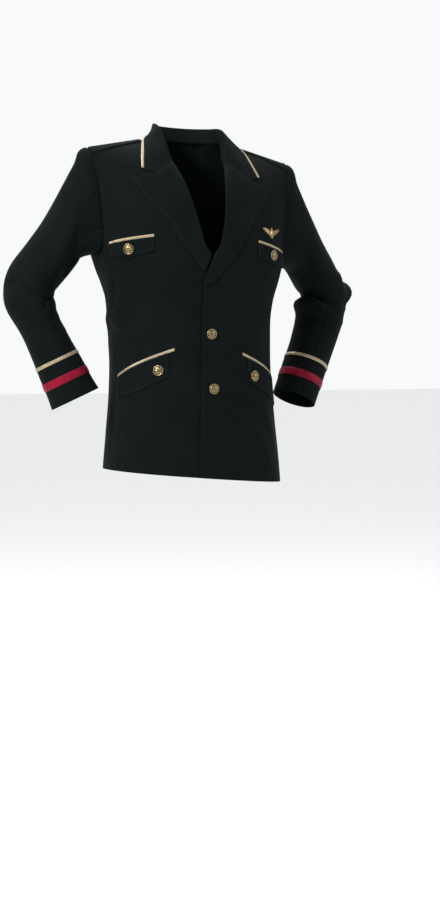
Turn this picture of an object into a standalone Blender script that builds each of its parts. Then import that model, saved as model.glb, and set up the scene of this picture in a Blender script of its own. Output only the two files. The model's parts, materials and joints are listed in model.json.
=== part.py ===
"""A pilot's uniform jacket, held in the shape it has when it is worn with the hands on the hips.

Single-breasted, with a notched collar, two front buttons, four buttoned flaps edged with braid, shoulder
straps, a wings badge and a braid and a ribbon round each cuff. It is hollow: every cloth piece is a thin
wall whose outer skin is worked out here, and whose thickness goes inwards.

Metres. +X is the wearer's left, the front faces -Y and +Z is up. The origin lies midway between the two
neck points of the shoulder seams.
"""

import math
from collections import namedtuple

import bmesh
import bpy
import numpy as np
from mathutils import Matrix, Vector
from mathutils.bvhtree import BVHTree

# ---------------------------------------------------------------- cloth and trims

CLOTH = 0.002  # wall of the suiting
FOLDED_CLOTH = 0.0022  # wall of the collar, the lapels, the flaps and the straps
TRIM = 0.0012  # thickness of braid and ribbon
BRAID = 0.006  # width of the gold braid on the collar and above the flaps
GAP = 0.0003  # between two pieces at a seam, and under a piece that lies on another

# ---------------------------------------------------------------- the body of the jacket

HEM = -0.741
BREAK = -0.325  # where the front edge turns out into the lapel
CHEST = -0.256  # the level of the armhole's foot
SQUARENESS = 2.4  # exponent of the rounded-square sections; 2 would be an ellipse

Section = namedtuple("Section", "height half_width front back centre")
BODY = (
    Section(HEM, 0.200, 0.147, 0.126, 0.008),
    Section(-0.664, 0.194, 0.145, 0.121, 0.008),
    Section(-0.584, 0.186, 0.143, 0.114, 0.006),
    Section(-0.506, 0.182, 0.140, 0.107, 0.003),
    Section(-0.436, 0.184, 0.138, 0.103, 0.000),
    Section(-0.376, 0.187, 0.138, 0.104, -0.001),
    Section(-0.341, 0.194, 0.139, 0.108, -0.002),
    Section(-0.301, 0.208, 0.141, 0.113, -0.003),
    Section(CHEST, 0.222, 0.142, 0.118, -0.004),
)

NECK_HALF = 0.078  # from the centre to a neck point
NECK_ANGLE = 24  # degrees round the body, from the centre front or back, that the neckline takes
NECK_PIT = (-0.070, -0.092)  # (y, z) of the neckline at the centre front, if it were closed
NAPE = (0.068, 0.002)  # (y, z) of the neckline at the centre back
SHOULDER_HALF = 0.238  # from the centre to the armhole at the top of the shoulder
SHOULDER_DROP = 0.036
YOKE_BEND = 1.25  # over 1 flattens the slope from the chest to the shoulder seam

ARMHOLE_FOOT_ANGLE = 70  # the front edge of the armhole, at its foot and at the shoulder
ARMHOLE_TOP_ANGLE = 64
ARMHOLE_SCOOP = 0.014  # how far the armhole dips between the side panel's two seams

SHOULDER_ROLL = 0.044  # drop towards the wearer's left for each metre across, at the shoulders
HEM_ROLL = 0.085  # and at the hem

# A level up to 0 is a height from the chest line, and 0 to 1 rises from there to the top line. Across is
# from the centre front to the panel's edge, and it is under 0 where the two fronts lap.
FrontEdge = namedtuple("FrontEdge", "level left right")
FRONT_EDGE = (
    FrontEdge(HEM - CHEST, -0.0305, -0.0195),
    FrontEdge(BREAK - CHEST - 0.010, -0.0195, -0.0195),
    FrontEdge(BREAK - CHEST, -0.0190, -0.0190),
    FrontEdge(0.000, 0.0040, 0.0040),
    FrontEdge(0.213, 0.0280, 0.0280),
    FrontEdge(0.436, 0.0400, 0.0400),
    FrontEdge(0.700, 0.0535, 0.0535),
    FrontEdge(1.000, 0.0700, 0.0700),
)
LAP = 0.0031  # the left front lies this far out over the right one
LAP_FADE = (0.022, 0.080)  # across, where it starts to come back and where it is back

ANGLE_STEP = 0.5  # the steps, in angle and in level, over which the skin's slope is taken
LEVEL_STEP = 0.02
BELOW_TOP = 0.999  # share of a level, to stay under the top line's corners
PAST_CENTRE = -20  # degrees past the centre front, where a search for a place of the front starts
SEARCH_HALVINGS = 40

ROWS_BELOW_BREAK = 8
ROWS_TO_CHEST = 2
ROWS_OF_YOKE = 8
SIDE_COLUMNS = 4
BACK_NECK_COLUMNS = 3
SHOULDER_COLUMNS = 8


def curve_at(xs, values, slopes, at):
    """The smooth curve that has these values and slopes at xs, at one place."""
    k = min(int(np.searchsorted(xs, at, side="right")) - 1, len(xs) - 2)
    span = xs[k + 1] - xs[k]
    u = (at - xs[k]) / span
    keep = (1 + 2 * u) * (1 - u) ** 2 * values[k] + u * u * (3 - 2 * u) * values[k + 1]
    turn = u * (1 - u) ** 2 * slopes[k] - u * u * (1 - u) * slopes[k + 1]
    return keep + turn * span


def smooth(rows, column, at):
    """A column of a table at any value of its first column, as a curve through its rows."""
    xs = [row[0] for row in rows]
    values = [getattr(row, column) for row in rows]
    return curve_at(xs, values, np.gradient(values, xs), min(max(at, xs[0]), xs[-1]))


def smooth_path(points, count):
    """Evenly spaced points along a curve through the given ones."""
    points = np.array(points, float)
    lengths = np.linalg.norm(np.diff(points, axis=0), axis=1)
    along = np.concatenate([[0], np.cumsum(lengths)])
    slopes = np.gradient(points, along, axis=0)
    return np.array([curve_at(along, points, slopes, at) for at in np.linspace(0, along[-1], count)])


def ease(value, start, end):
    """0 before the start, 1 after the end, and a smooth step between."""
    u = min(max((value - start) / (end - start), 0), 1)
    return u * u * (3 - 2 * u)


def unit(vector):
    return vector / np.linalg.norm(vector, axis=-1, keepdims=True)


def body_point(angle, height):
    """The section at a height. Angle 0 is the centre front and 90 the wearer's left, in degrees."""
    s = math.sin(math.radians(angle))
    c = math.cos(math.radians(angle))
    grow = (abs(s) ** SQUARENESS + abs(c) ** SQUARENESS) ** (-1 / SQUARENESS)
    depth = smooth(BODY, "front" if c > 0 else "back", height)
    x = smooth(BODY, "centre", height) + smooth(BODY, "half_width", height) * s * grow
    return np.array([x, -depth * c * grow, height])


def top_line(angle):
    """The neckline between the two neck points, and the shoulder seam outside them."""
    front = abs(angle) < 90
    side = math.copysign(1, angle)
    away = abs(angle) if front else 180 - abs(angle)
    if away < NECK_ANGLE:
        turn = math.radians(90 * away / NECK_ANGLE)
        y, z = NECK_PIT if front else NAPE
        return np.array([side * NECK_HALF * math.sin(turn), y * math.cos(turn), z * math.cos(turn)])
    out = (away - NECK_ANGLE) / (ARMHOLE_TOP_ANGLE - NECK_ANGLE)
    x = NECK_HALF + (SHOULDER_HALF - NECK_HALF) * out
    return np.array([side * x, 0, -SHOULDER_DROP * out])


def lean(point):
    """The wearer's stance: the whole jacket slopes down to the left, more at the hem."""
    roll = SHOULDER_ROLL + (HEM_ROLL - SHOULDER_ROLL) * point[2] / HEM
    return point - np.array([0, 0, roll * point[0]])


def torso(angle, level):
    """The outer skin of the body."""
    chest = body_point(angle, CHEST + min(level, 0))
    if level <= 0:
        return lean(chest)
    top = top_line(angle)
    turn = math.radians(90 * min(level, 1))
    x = chest[0] + (top[0] - chest[0]) * math.sin(turn) ** 2
    y = top[1] + (chest[1] - top[1]) * abs(math.cos(turn)) ** YOKE_BEND
    z = chest[2] + (top[2] - chest[2]) * math.sin(turn)
    return lean(np.array([x, y, z]))


def one_side_normal(angle, level):
    """Which way the skin faces, from its slope on this side of the shoulder seam."""
    low = max(level - LEVEL_STEP, HEM - CHEST)
    high = min(level + LEVEL_STEP, 1)
    round_at = level * BELOW_TOP
    round_it = torso(angle + ANGLE_STEP, round_at) - torso(angle - ANGLE_STEP, round_at)
    return unit(np.cross(round_it, torso(angle, high) - torso(angle, low)))


def normal(angle, level):
    """The same, shared by the front and the back at the shoulder seam."""
    own = one_side_normal(angle, level)
    inside_neck = round(min(abs(angle), 180 - abs(angle)), 2) < NECK_ANGLE
    if level < 1 or inside_neck:
        return own
    return unit(own + one_side_normal(math.copysign(180, angle) - angle, level))


def find(low, high, too_low):
    """The value between low and high at which too_low stops being true."""
    for _ in range(SEARCH_HALVINGS):
        middle = (low + high) / 2
        if too_low(middle):
            low = middle
        else:
            high = middle
    return (low + high) / 2


def angle_at(side, across, level):
    """The angle at which the skin lies this far from the centre front, towards one side."""
    return side * find(PAST_CENTRE, 90, lambda a: side * torso(side * a, level)[0] < across)


def level_at(angle, height):
    """The level of a height, measured before the jacket leans."""
    if height <= CHEST:
        return height - CHEST
    rise = (height - CHEST) / (top_line(angle)[2] - CHEST)
    return math.degrees(math.asin(min(rise, 1))) / 90


def place(side, across, height):
    """The angle and level of a point of the front, from its distance across and its height."""

    def too_near(away):
        return side * torso(side * away, level_at(side * away, height))[0] < across

    angle = side * find(PAST_CENTRE, 90, too_near)
    return angle, level_at(angle, height)


def edge_angle(side, level):
    """Where a front panel ends: its front edge, and above the break its roll line."""
    return angle_at(side, smooth(FRONT_EDGE, "left" if side > 0 else "right", level), level)


def armhole_angle(level):
    return ARMHOLE_TOP_ANGLE + (ARMHOLE_FOOT_ANGLE - ARMHOLE_TOP_ANGLE) * (1 - max(level, 0)) ** 2


def body_levels():
    below = np.linspace(HEM - CHEST, BREAK - CHEST, ROWS_BELOW_BREAK + 1)
    return list(below) + list(np.linspace(BREAK - CHEST, 0, ROWS_TO_CHEST + 1)[1:])


def yoke_levels():
    return list(np.linspace(0, 1, ROWS_OF_YOKE + 1))


# ---------------------------------------------------------------- the sleeves

# The two arms are bent at the elbow with the cuffs at the hips. Along is from the elbow's corner, and it
# is under 0 on the upper arm. Across lies in the plane of the bend, and shift moves a ring outwards in it.
Arm = namedtuple("Arm", "side elbow cuff bend_radius")
ARMS = (
    Arm(-1, (-0.372, 0.030, -0.3346), (-0.268, -0.012, -0.570), 0.075),
    Arm(1, (0.3747, 0.065, -0.3466), (0.272, 0.026, -0.578), 0.060),
)
Ring = namedtuple("Ring", "along across depth shift point")
RIGHT_RINGS = (
    Ring(-0.122, 0.0555, 0.062, 0.000, 0.000),
    Ring(-0.080, 0.0555, 0.059, 0.000, 0.000),
    Ring(-0.044, 0.0560, 0.057, 0.000, 0.000),
    Ring(-0.022, 0.0560, 0.057, 0.000, 0.000),
    Ring(0.000, 0.0560, 0.056, 0.000, 0.000),
    Ring(0.022, 0.0550, 0.055, 0.000, 0.000),
    Ring(0.044, 0.0510, 0.054, 0.000, 0.000),
    Ring(0.090, 0.0460, 0.051, 0.000, 0.000),
    Ring(0.135, 0.0470, 0.050, 0.000, 0.000),
    Ring(0.195, 0.0510, 0.049, 0.000, 0.000),
    Ring(0.235, 0.0530, 0.049, 0.000, 0.000),
    Ring(1.000, 0.0560, 0.049, 0.000, 0.000),
)
LEFT_RINGS = (
    Ring(-0.122, 0.0510, 0.060, 0.000, 0.000),
    Ring(-0.080, 0.0500, 0.058, 0.000, 0.000),
    Ring(-0.044, 0.0480, 0.056, 0.000, 0.000),
    Ring(-0.022, 0.0460, 0.056, 0.000, 0.006),
    Ring(0.000, 0.0460, 0.056, 0.000, 0.018),
    Ring(0.022, 0.0520, 0.055, -0.003, 0.000),
    Ring(0.044, 0.0550, 0.055, -0.003, 0.000),
    Ring(0.090, 0.0520, 0.053, 0.000, 0.000),
    Ring(0.135, 0.0490, 0.051, 0.000, 0.000),
    Ring(0.195, 0.0510, 0.050, 0.000, 0.000),
    Ring(0.235, 0.0500, 0.050, 0.000, 0.000),
    Ring(1.000, 0.0500, 0.050, 0.000, 0.000),
)
RINGS = {-1: RIGHT_RINGS, 1: LEFT_RINGS}
CAP_STEPS = (0.16, 0.38, 0.68)  # rings between the armhole and the first ring of the arm
CAP_START = 0.30  # how far the sleeve head runs straight out, as a share of the way to the arm
CAP_DIP = 0.15  # and how much it falls on the way
BEHIND_LEVEL, BEHIND_ANGLE = 0.03, 2  # steps back from the armhole, to see how the body comes to it
ELBOW_POINT = 12  # how sharply the elbow's point dies away round the arm
FRONT_SLEEVE_SEAM = 7  # columns of the sleeve, counted from the top of the shoulder round the front
BACK_SLEEVE_SEAM = 15
BRAID_UP_CUFF = 0.0915  # from the cuff's edge to the middle of the gold braid, and its width
CUFF_BRAID = 0.0075
RIBBON_UP_CUFF = 0.0485
CUFF_RIBBON = 0.0175


def armhole(side):
    """The armhole from the top of the shoulder down the front, under the arm and up the back."""
    front = [(armhole_angle(level), level) for level in reversed(yoke_levels())]
    under = []
    for step in range(1, SIDE_COLUMNS):
        angle = ARMHOLE_FOOT_ANGLE + (180 - 2 * ARMHOLE_FOOT_ANGLE) * step / SIDE_COLUMNS
        under.append((angle, -ARMHOLE_SCOOP * math.sin(math.pi * step / SIDE_COLUMNS)))
    back = [(180 - armhole_angle(level), level) for level in yoke_levels()[:-1]]
    return [(side * angle, level) for angle, level in front + under + back]


def arm_frame(arm, start, along):
    """The centre of a ring, the way to the outside of the bend, and the way to the hand."""
    elbow, cuff = np.array(arm.elbow), np.array(arm.cuff)
    upper, lower = unit(elbow - start), unit(cuff - elbow)
    bend = math.acos(np.dot(upper, lower))
    inwards = unit(lower - upper * np.dot(upper, lower))
    tangent = arm.bend_radius * math.tan(bend / 2)
    along = min(along, np.linalg.norm(cuff - elbow))
    turn = bend * min(max((along + tangent) / (2 * tangent), 0), 1)
    hand = upper * math.cos(turn) + inwards * math.sin(turn)
    outwards = upper * math.sin(turn) - inwards * math.cos(turn)
    arc = upper * math.sin(turn) + inwards * (1 - math.cos(turn))
    centre = elbow - upper * tangent + arm.bend_radius * arc
    centre += upper * min(along + tangent, 0) + lower * max(along - tangent, 0)
    return centre, outwards, hand


def sleeve_rings(arm):
    """The outer skin of a sleeve: rings from the armhole to the cuff, each from the top round the front."""
    loop = np.array([torso(*spot) for spot in armhole(arm.side)])
    start = loop.mean(axis=0)
    arm_rings = []
    for ring in RINGS[arm.side]:
        centre, outwards, hand = arm_frame(arm, start, ring.along)
        forwards = np.cross(outwards, hand)
        forwards *= -math.copysign(1, forwards[1])
        points = []
        for column in range(len(loop)):
            turn = 2 * math.pi * column / len(loop)
            point = ring.point * max(math.cos(turn), 0) ** ELBOW_POINT
            out = ring.shift + ring.across * math.cos(turn) + point
            points.append(centre + outwards * out + forwards * ring.depth * math.sin(turn))
        arm_rings.append(np.array(points))
    hand = arm_frame(arm, start, RINGS[arm.side][0].along)[2]
    reach = np.linalg.norm(arm_rings[0] - loop, axis=1, keepdims=True)
    leave = reach * CAP_START * unit(np.array([arm.side, 0, -CAP_DIP]))
    arrive = reach * hand
    cap = []
    for u in CAP_STEPS:
        keep = (1 + 2 * u) * (1 - u) ** 2 * loop + u * u * (3 - 2 * u) * arm_rings[0]
        cap.append(keep + u * (1 - u) ** 2 * leave - u * u * (1 - u) * arrive)
    return np.array([loop] + cap + arm_rings)


def ring_normals(rings):
    """Which way a closed tube's skin faces at each point."""
    around = np.roll(rings, -1, axis=1) - np.roll(rings, 1, axis=1)
    facing = unit(np.cross(around, np.gradient(rings, axis=0)))
    outwards = rings - rings.mean(axis=1, keepdims=True)
    return facing * np.sign((facing * outwards).sum(axis=(1, 2), keepdims=True))


def armhole_inner(side, rings, normals):
    """The inner edges of the body and of the sleeve at the armhole, neither past the plane between them."""
    body_inner, sleeve_inner = [], []
    for (angle, level), skin, ahead, facing in zip(armhole(side), rings[0], rings[1], normals[0]):
        if level <= 0:  # under the arm the body comes up to the armhole
            behind = torso(angle, level - BEHIND_LEVEL)
        else:  # and elsewhere it comes out to it, from the front or from the back
            out = -side if abs(angle) < 90 else side
            behind = torso(angle + out * BEHIND_ANGLE, level)
        across = unit(unit(ahead - skin) - unit(behind - skin))
        body = -CLOTH * normal(angle, level)
        sleeve = -CLOTH * facing
        body_inner.append(skin + body - max(np.dot(body, across), 0) * across)
        sleeve_inner.append(skin + sleeve - min(np.dot(sleeve, across), 0) * across)
    return np.array(body_inner), np.array(sleeve_inner)


# ---------------------------------------------------------------- collar, lapels, flaps, straps, trims

GORGE_LEVEL = 0.88  # on the roll line, where the collar meets the lapel
NOTCH = (0.108, -0.0876)  # (across, height) of the notch's corner, the collar's point and the lapel's point
COLLAR_POINT = (0.139, -0.078)
LAPEL_POINT = (0.163, -0.103)
LapelEdge = namedtuple("LapelEdge", "height across")
LAPEL_EDGE = (
    LapelEdge(-0.332, -0.0195),
    LapelEdge(-0.305, 0.0120),
    LapelEdge(-0.286, 0.0270),
    LapelEdge(-0.248, 0.0600),
    LapelEdge(-0.210, 0.0850),
    LapelEdge(-0.176, 0.1070),
    LapelEdge(-0.139, 0.1370),
    LapelEdge(LAPEL_POINT[1], LAPEL_POINT[0]),
)
LAPEL_FOOT = {1: -0.324, -1: -0.293}  # the right lapel ends where the left front covers it
LAPEL_CLEAR = 0.007  # between the right lapel and the left front's edge
LAPEL_ROWS = 10
ROLL_LINE_POINTS = 60
LEAF_SHARES = (0.25, 0.5, 0.75, 1.0)  # columns of a lapel and of the collar's fall, from roll to edge

# How a lapel and the ends of the collar turn over the roll line: (towards the armhole, out) in metres.
ROLL_PROFILE = ((0.0010, 0.0005), (-0.0006, 0.0025), (0.0004, 0.0050), (0.0050, 0.0058))
ROLL_STEP = 0.002  # from the roll line in to where the roll's first points stand
ROLL_AIM = 0.006  # and to the point that gives their direction
ROLL_SHARE = 0.35  # of the lapel's width, the most that the roll takes
ROLL_FLAT = 0.030  # this far from the roll line the lapel lies flat
GORGE_PULL = 6  # power of the share up the lapel, or along the collar, that bends a row to the notch

# Columns of the collar and the lapels. The stand comes first, then the fold, then the leaf.
STAND_COLUMNS = 3
FOLD_COLUMN, START_COLUMN, NOTCH_COLUMN = 2, 3, 5
LEAF_COLUMNS = len(ROLL_PROFILE) + len(LEAF_SHARES)

# The collar from the centre back to its end: where its foot is sewn, its fold and its outer edge.
Station = namedtuple("Station", "foot_angle fold edge_angle edge_level")
COLLAR = (
    Station(180, (0.0000, 0.073, 0.034), 180, 0.71),
    Station(168, (0.0360, 0.066, 0.034), 168, 0.77),
    Station(158, (0.0640, 0.040, 0.033), 158, 0.88),
    Station(24, (0.0735, 0.010, 0.031), 30, 0.985),
    Station(23, (0.0745, -0.014, 0.024), 33, 0.88),
    Station(20, (0.0730, -0.036, 0.002), 35, 0.76),
    Station(17, (0.0695, -0.053, -0.022), 36.5, 0.64),
)
COLLAR_STEPS = 9  # for each half
COLLAR_FOLD = (0.0044, 0.0012)  # (out, up) across the top of the fold
COLLAR_BULGE = 0.002
STAND_HOLLOW = 0.0008  # how far the stand bows towards the neck
STAND_INSIDE = 0.0038  # how far inside the neckline the stand's neck side is

Flap = namedtuple("Flap", "name side inner outer top_inner top_outer deep_inner deep_outer point")
FLAPS = (
    Flap("chest_flap_right", -1, 32.4, 63.5, -0.2265, -0.2465, 0.028, 0.022, 0.010),
    Flap("chest_flap_left", 1, 31.0, 62.0, -0.2215, -0.2400, 0.028, 0.022, 0.010),
    Flap("hip_flap_right", -1, 31.0, 77.0, -0.4745, -0.5335, 0.050, 0.048, 0.008),
    Flap("hip_flap_left", 1, 27.5, 75.0, -0.4730, -0.5260, 0.050, 0.048, 0.008),
)
FLAP_COLUMNS = 6
FLAP_ROWS = 2
BRAID_PAST_HIP_FLAP = 4.5  # degrees that the braid runs on past the flap's inner end

STRAP_FROM, STRAP_TO = 0.118, 0.2365  # across
STRAP_HALF_WIDTHS = (0.018, 0.023)
STRAP_BACK = 0.0005  # how far behind the shoulder seam its height is taken
STRAP_ROWS, STRAP_COLUMNS = 7, 4

BUTTON_RADIUS = 0.0115
Button = namedtuple("Button", "name angle height")
BUTTONS = (
    Button("front_button_upper", -0.7, -0.430),
    Button("front_button_lower", -1.0, -0.548),
    Button("chest_button_right", -47.5, -0.2580),
    Button("chest_button_left", 42.5, -0.2480),
    Button("hip_button_right", -38.1, -0.5160),
    Button("hip_button_left", 31.5, -0.5140),
)
BADGE_AT = (42.5, -0.192)  # (angle, height)
BADGE_THICKNESS = 0.0018


def height_of(angle, level):
    """The height of a level, before the jacket leans."""
    if level <= 0:
        return CHEST + level
    return CHEST + (top_line(angle)[2] - CHEST) * math.sin(math.radians(90 * level))


def roll_line(side):
    """The front panel's edge as (height, across) pairs, from below the break to the gorge."""
    levels = np.linspace(BREAK - CHEST - 0.01, GORGE_LEVEL, ROLL_LINE_POINTS)
    angles = [edge_angle(side, level) for level in levels]
    heights = [height_of(angle, level) for angle, level in zip(angles, levels)]
    across = [side * torso(angle, level)[0] for angle, level in zip(angles, levels)]
    return np.array(heights), np.array(across)


# ---------------------------------------------------------------- building

Look = namedtuple("Look", "colour roughness metallic")
SUITING = Look((0.010, 0.014, 0.013), 0.85, 0.0)
GOLD_BRAID = Look((0.55, 0.40, 0.20), 0.45, 0.6)
GOLD_METAL = Look((0.75, 0.52, 0.20), 0.28, 1.0)
RED_RIBBON = Look((0.55, 0.008, 0.045), 0.40, 0.0)


def clear_scene():
    for item in list(bpy.data.objects):
        bpy.data.objects.remove(item, do_unlink=True)


def finish(item, look):
    material = bpy.data.materials.new(item.name)
    material.use_nodes = True
    shader = material.node_tree.nodes["Principled BSDF"]
    shader.inputs["Base Color"].default_value = (*look.colour, 1)
    shader.inputs["Roughness"].default_value = look.roughness
    shader.inputs["Metallic"].default_value = look.metallic
    item.data.materials.append(material)
    bpy.context.scene.collection.objects.link(item)
    return item


def mesh_object(name, points, faces, look):
    mesh = bpy.data.meshes.new(name)
    mesh.from_pydata([tuple(point) for point in points], [], faces)
    shape = bmesh.new()
    shape.from_mesh(mesh)
    bmesh.ops.recalc_face_normals(shape, faces=shape.faces)
    shape.to_mesh(mesh)
    shape.free()
    return finish(bpy.data.objects.new(name, mesh), look)


def wall(name, skin, inner, look, closed=False):
    """A solid between two grids of points. Closed joins the last column to the first."""
    rows, columns = skin.shape[:2]
    points = np.concatenate([skin.reshape(-1, 3), inner.reshape(-1, 3)])

    def at(layer, row, column):
        return (layer * rows + row) * columns + column % columns

    faces = []

    def quad(a, b, c, d):
        faces.extend([(a, b, c), (a, c, d)])

    last = columns if closed else columns - 1
    for row in range(rows - 1):
        for column in range(last):
            for layer in (0, 1):
                corners = [
                    at(layer, row, column),
                    at(layer, row, column + 1),
                    at(layer, row + 1, column + 1),
                    at(layer, row + 1, column),
                ]
                quad(*corners)
    for row in (0, rows - 1):
        for column in range(last):
            quad(at(0, row, column), at(0, row, column + 1), at(1, row, column + 1), at(1, row, column))
    for column in () if closed else (0, columns - 1):
        for row in range(rows - 1):
            quad(at(0, row, column), at(0, row + 1, column), at(1, row + 1, column), at(1, row, column))
    return mesh_object(name, points, faces, look)


def inset(skin, inner, *edges):
    """Draws the named edges of a wall in by half a gap."""
    for edge in edges:
        end, line = edge.split()
        at, beside = (0, 1) if end == "first" else (-1, -2)
        spot = (at, beside) if line == "row" else ((slice(None), at), (slice(None), beside))
        edge_line = skin[spot[0]]
        along = unit(np.gradient(edge_line, axis=0))
        across = skin[spot[1]] - edge_line
        across -= (across * along).sum(axis=1, keepdims=True) * along
        shift = unit(across) * GAP / 2
        skin[spot[0]] += shift
        inner[spot[0]] += shift
    return skin, inner


def grid_normals(grid, towards):
    """Which way an open grid faces, on the side that its last column's middle turns towards a direction."""
    facing = unit(np.cross(np.gradient(grid, axis=0), np.gradient(grid, axis=1)))
    return facing * math.copysign(1, np.dot(facing[len(grid) // 2, -1], towards))


def skins(*items):
    """A search tree over the outer skins of some walls. A wall's skin is the first half of its points."""
    points, faces = [], []
    for item in items:
        first = len(points)
        half = len(item.data.vertices) // 2
        points.extend(vertex.co.copy() for vertex in item.data.vertices)
        for face in item.data.polygons:
            if max(face.vertices) < half:
                faces.append([first + corner for corner in face.vertices])
    return BVHTree.FromPolygons(points, faces)


REACH = 0.03  # how far out a piece is dropped from


def under(tree, point, way):
    """The place on the skins below a point, looking back along a way out. None where there is none."""
    hit = tree.ray_cast(Vector(point + REACH * way), Vector(-way), 2 * REACH)[0]
    return None if hit is None else np.array(hit)


def laid(tree, angle, level, out):
    """A point that lies over the jacket, out from the faces it lies on."""
    facing = normal(angle, level)
    skin = torso(angle, level)
    hit = under(tree, skin, facing)
    return (skin if hit is None else hit) + out * facing


# Where each face of a grid is tried for clearance, as shares of its three corners.
TRIED = [(i / 4, j / 4, (4 - i - j) / 4) for i in range(5) for j in range(5 - i)]
TRIES = 3
SHORT = 1e-6  # under this a face counts as clear


def rested(tree, low, ways, least):
    """How far each point of a grid moves along its way out, to keep the grid's faces clear of the skins."""
    rows, columns = low.shape[:2]
    lift = np.zeros((rows, columns, 1))
    for _ in range(TRIES):
        moved = low + lift * ways
        for row in range(rows - 1):
            for column in range(columns - 1):
                ring = [(row, column), (row, column + 1), (row + 1, column + 1), (row + 1, column)]
                for corners in (ring[:3], [ring[0]] + ring[2:]):
                    for shares in TRIED:
                        point = sum(share * moved[at] for share, at in zip(shares, corners))
                        way = unit(sum(share * ways[at] for share, at in zip(shares, corners)))
                        hit = under(tree, point, way)
                        short = 0 if hit is None else least - np.dot(point - hit, way)
                        if short > SHORT:
                            for at in corners:
                                moved[at] += short * ways[at]
                                lift[at] += short
    return lift * ways


# ---------------------------------------------------------------- panels and sleeves


def panel_levels():
    return body_levels() + yoke_levels()[1:]


def front_panel(side, look, armhole_edge):
    first = (NECK_ANGLE - abs(edge_angle(side, 1))) / (ARMHOLE_TOP_ANGLE - abs(edge_angle(side, 1)))
    shares = [0] + list(np.linspace(first, 1, SHOULDER_COLUMNS + 1))
    skin, inner = [], []
    for level in panel_levels():
        start = edge_angle(side, level)
        angles = [start + (side * armhole_angle(level) - start) * share for share in shares]
        facing = np.array([normal(angle, level) for angle in angles])
        points = np.array([torso(angle, level) for angle in angles])
        if side > 0:
            lift = [LAP * (1 - ease(point[0], *LAP_FADE)) for point in points]
            points += np.array(lift)[:, None] * facing
        skin.append(points)
        inner.append(points - CLOTH * facing)
    skin, inner = np.array(skin), np.array(inner)
    inner[-ROWS_OF_YOKE - 1 :, -1] = armhole_edge[ROWS_OF_YOKE::-1]
    inset(skin, inner, "last row", "last column")
    return wall("front_left" if side > 0 else "front_right", skin, inner, look)


def back_panel(side, look, armhole_edge):
    neck = NECK_ANGLE / ARMHOLE_TOP_ANGLE
    shares = list(np.linspace(0, neck, BACK_NECK_COLUMNS + 1))
    shares += list(np.linspace(neck, 1, SHOULDER_COLUMNS + 1)[1:])
    skin, inner = [], []
    for level in panel_levels():
        angles = [side * (180 - armhole_angle(level) * share) for share in shares]
        facing = np.array([normal(angle, level) for angle in angles])
        skin.append(np.array([torso(angle, level) for angle in angles]))
        inner.append(skin[-1] - CLOTH * facing)
    skin, inner = np.array(skin), np.array(inner)
    foot = ROWS_OF_YOKE + SIDE_COLUMNS
    inner[-ROWS_OF_YOKE - 1 :, -1] = np.concatenate([armhole_edge[foot:], armhole_edge[:1]])
    inset(skin, inner, "last row", "first column", "last column")
    return wall("back_left" if side > 0 else "back_right", skin, inner, look)


def side_panel(side, look, armhole_edge):
    skin, inner = [], []
    for level in body_levels():
        row, row_inner = [], []
        for step in range(SIDE_COLUMNS + 1):
            angle = side * (ARMHOLE_FOOT_ANGLE + (180 - 2 * ARMHOLE_FOOT_ANGLE) * step / SIDE_COLUMNS)
            scoop = ARMHOLE_SCOOP * math.sin(math.pi * step / SIDE_COLUMNS)
            lowered = level - scoop * (level - HEM + CHEST) / (CHEST - HEM)
            row.append(torso(angle, lowered))
            row_inner.append(row[-1] - CLOTH * normal(angle, lowered))
        skin.append(row)
        inner.append(row_inner)
    skin, inner = np.array(skin), np.array(inner)
    inner[-1] = armhole_edge[ROWS_OF_YOKE : ROWS_OF_YOKE + SIDE_COLUMNS + 1]
    inset(skin, inner, "last row", "first column", "last column")
    return wall("side_left" if side > 0 else "side_right", skin, inner, look)


def sleeve(arm, look, rings, normals, armhole_edge):
    inner_rings = rings - CLOTH * normals
    inner_rings[0] = armhole_edge
    count = rings.shape[1]
    name = "sleeve_left" if arm.side > 0 else "sleeve_right"
    top = [column % count for column in range(BACK_SLEEVE_SEAM, count + FRONT_SLEEVE_SEAM + 1)]
    under = list(range(FRONT_SLEEVE_SEAM, BACK_SLEEVE_SEAM + 1))
    pieces = []
    for part, columns in (("top", top), ("under", under)):
        skin, inner = rings[:, columns].copy(), inner_rings[:, columns].copy()
        inset(skin, inner, "first row", "first column", "last column")
        pieces.append(wall(f"{name}_{part}", skin, inner, look))
    return pieces


def cuff_band(arm, name, up_cuff, width, look, rings, normals):
    """A braid or ribbon round the cuff, made of the sleeve's own rings moved out."""
    length = np.linalg.norm(np.array(arm.cuff) - np.array(arm.elbow))
    along = [length if ring.along > length else ring.along for ring in RINGS[arm.side]]
    skin, inner = [], []
    for edge in (-width / 2, width / 2):
        place_on_arm = np.interp(length - up_cuff + edge, along, range(len(along)))
        low = int(place_on_arm)
        share = place_on_arm - low
        first = len(CAP_STEPS) + 1 + low
        points = rings[first] * (1 - share) + rings[first + 1] * share
        facing = unit(normals[first] * (1 - share) + normals[first + 1] * share)
        skin.append(points + (GAP + TRIM) * facing)
        inner.append(points + GAP * facing)
    return wall(name, np.array(skin), np.array(inner), look, closed=True)


# ---------------------------------------------------------------- what lies on the body

FLAT = GAP + FOLDED_CLOTH + 0.0003  # skin of a piece that lies on a panel


def roll_point(side, tree, start, ahead, profile):
    """A point of the roll: the profile's step towards a second place, and out from the panel's edge."""
    inside = place(side, *(start + ROLL_STEP * unit(ahead - start)))
    further = place(side, *(start + ROLL_AIM * unit(ahead - start)))
    near = laid(tree, *inside, 0)
    along = unit(laid(tree, *further, 0) - near)
    return near + (profile[0] - ROLL_STEP) * along + profile[1] * normal(*inside)


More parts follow.
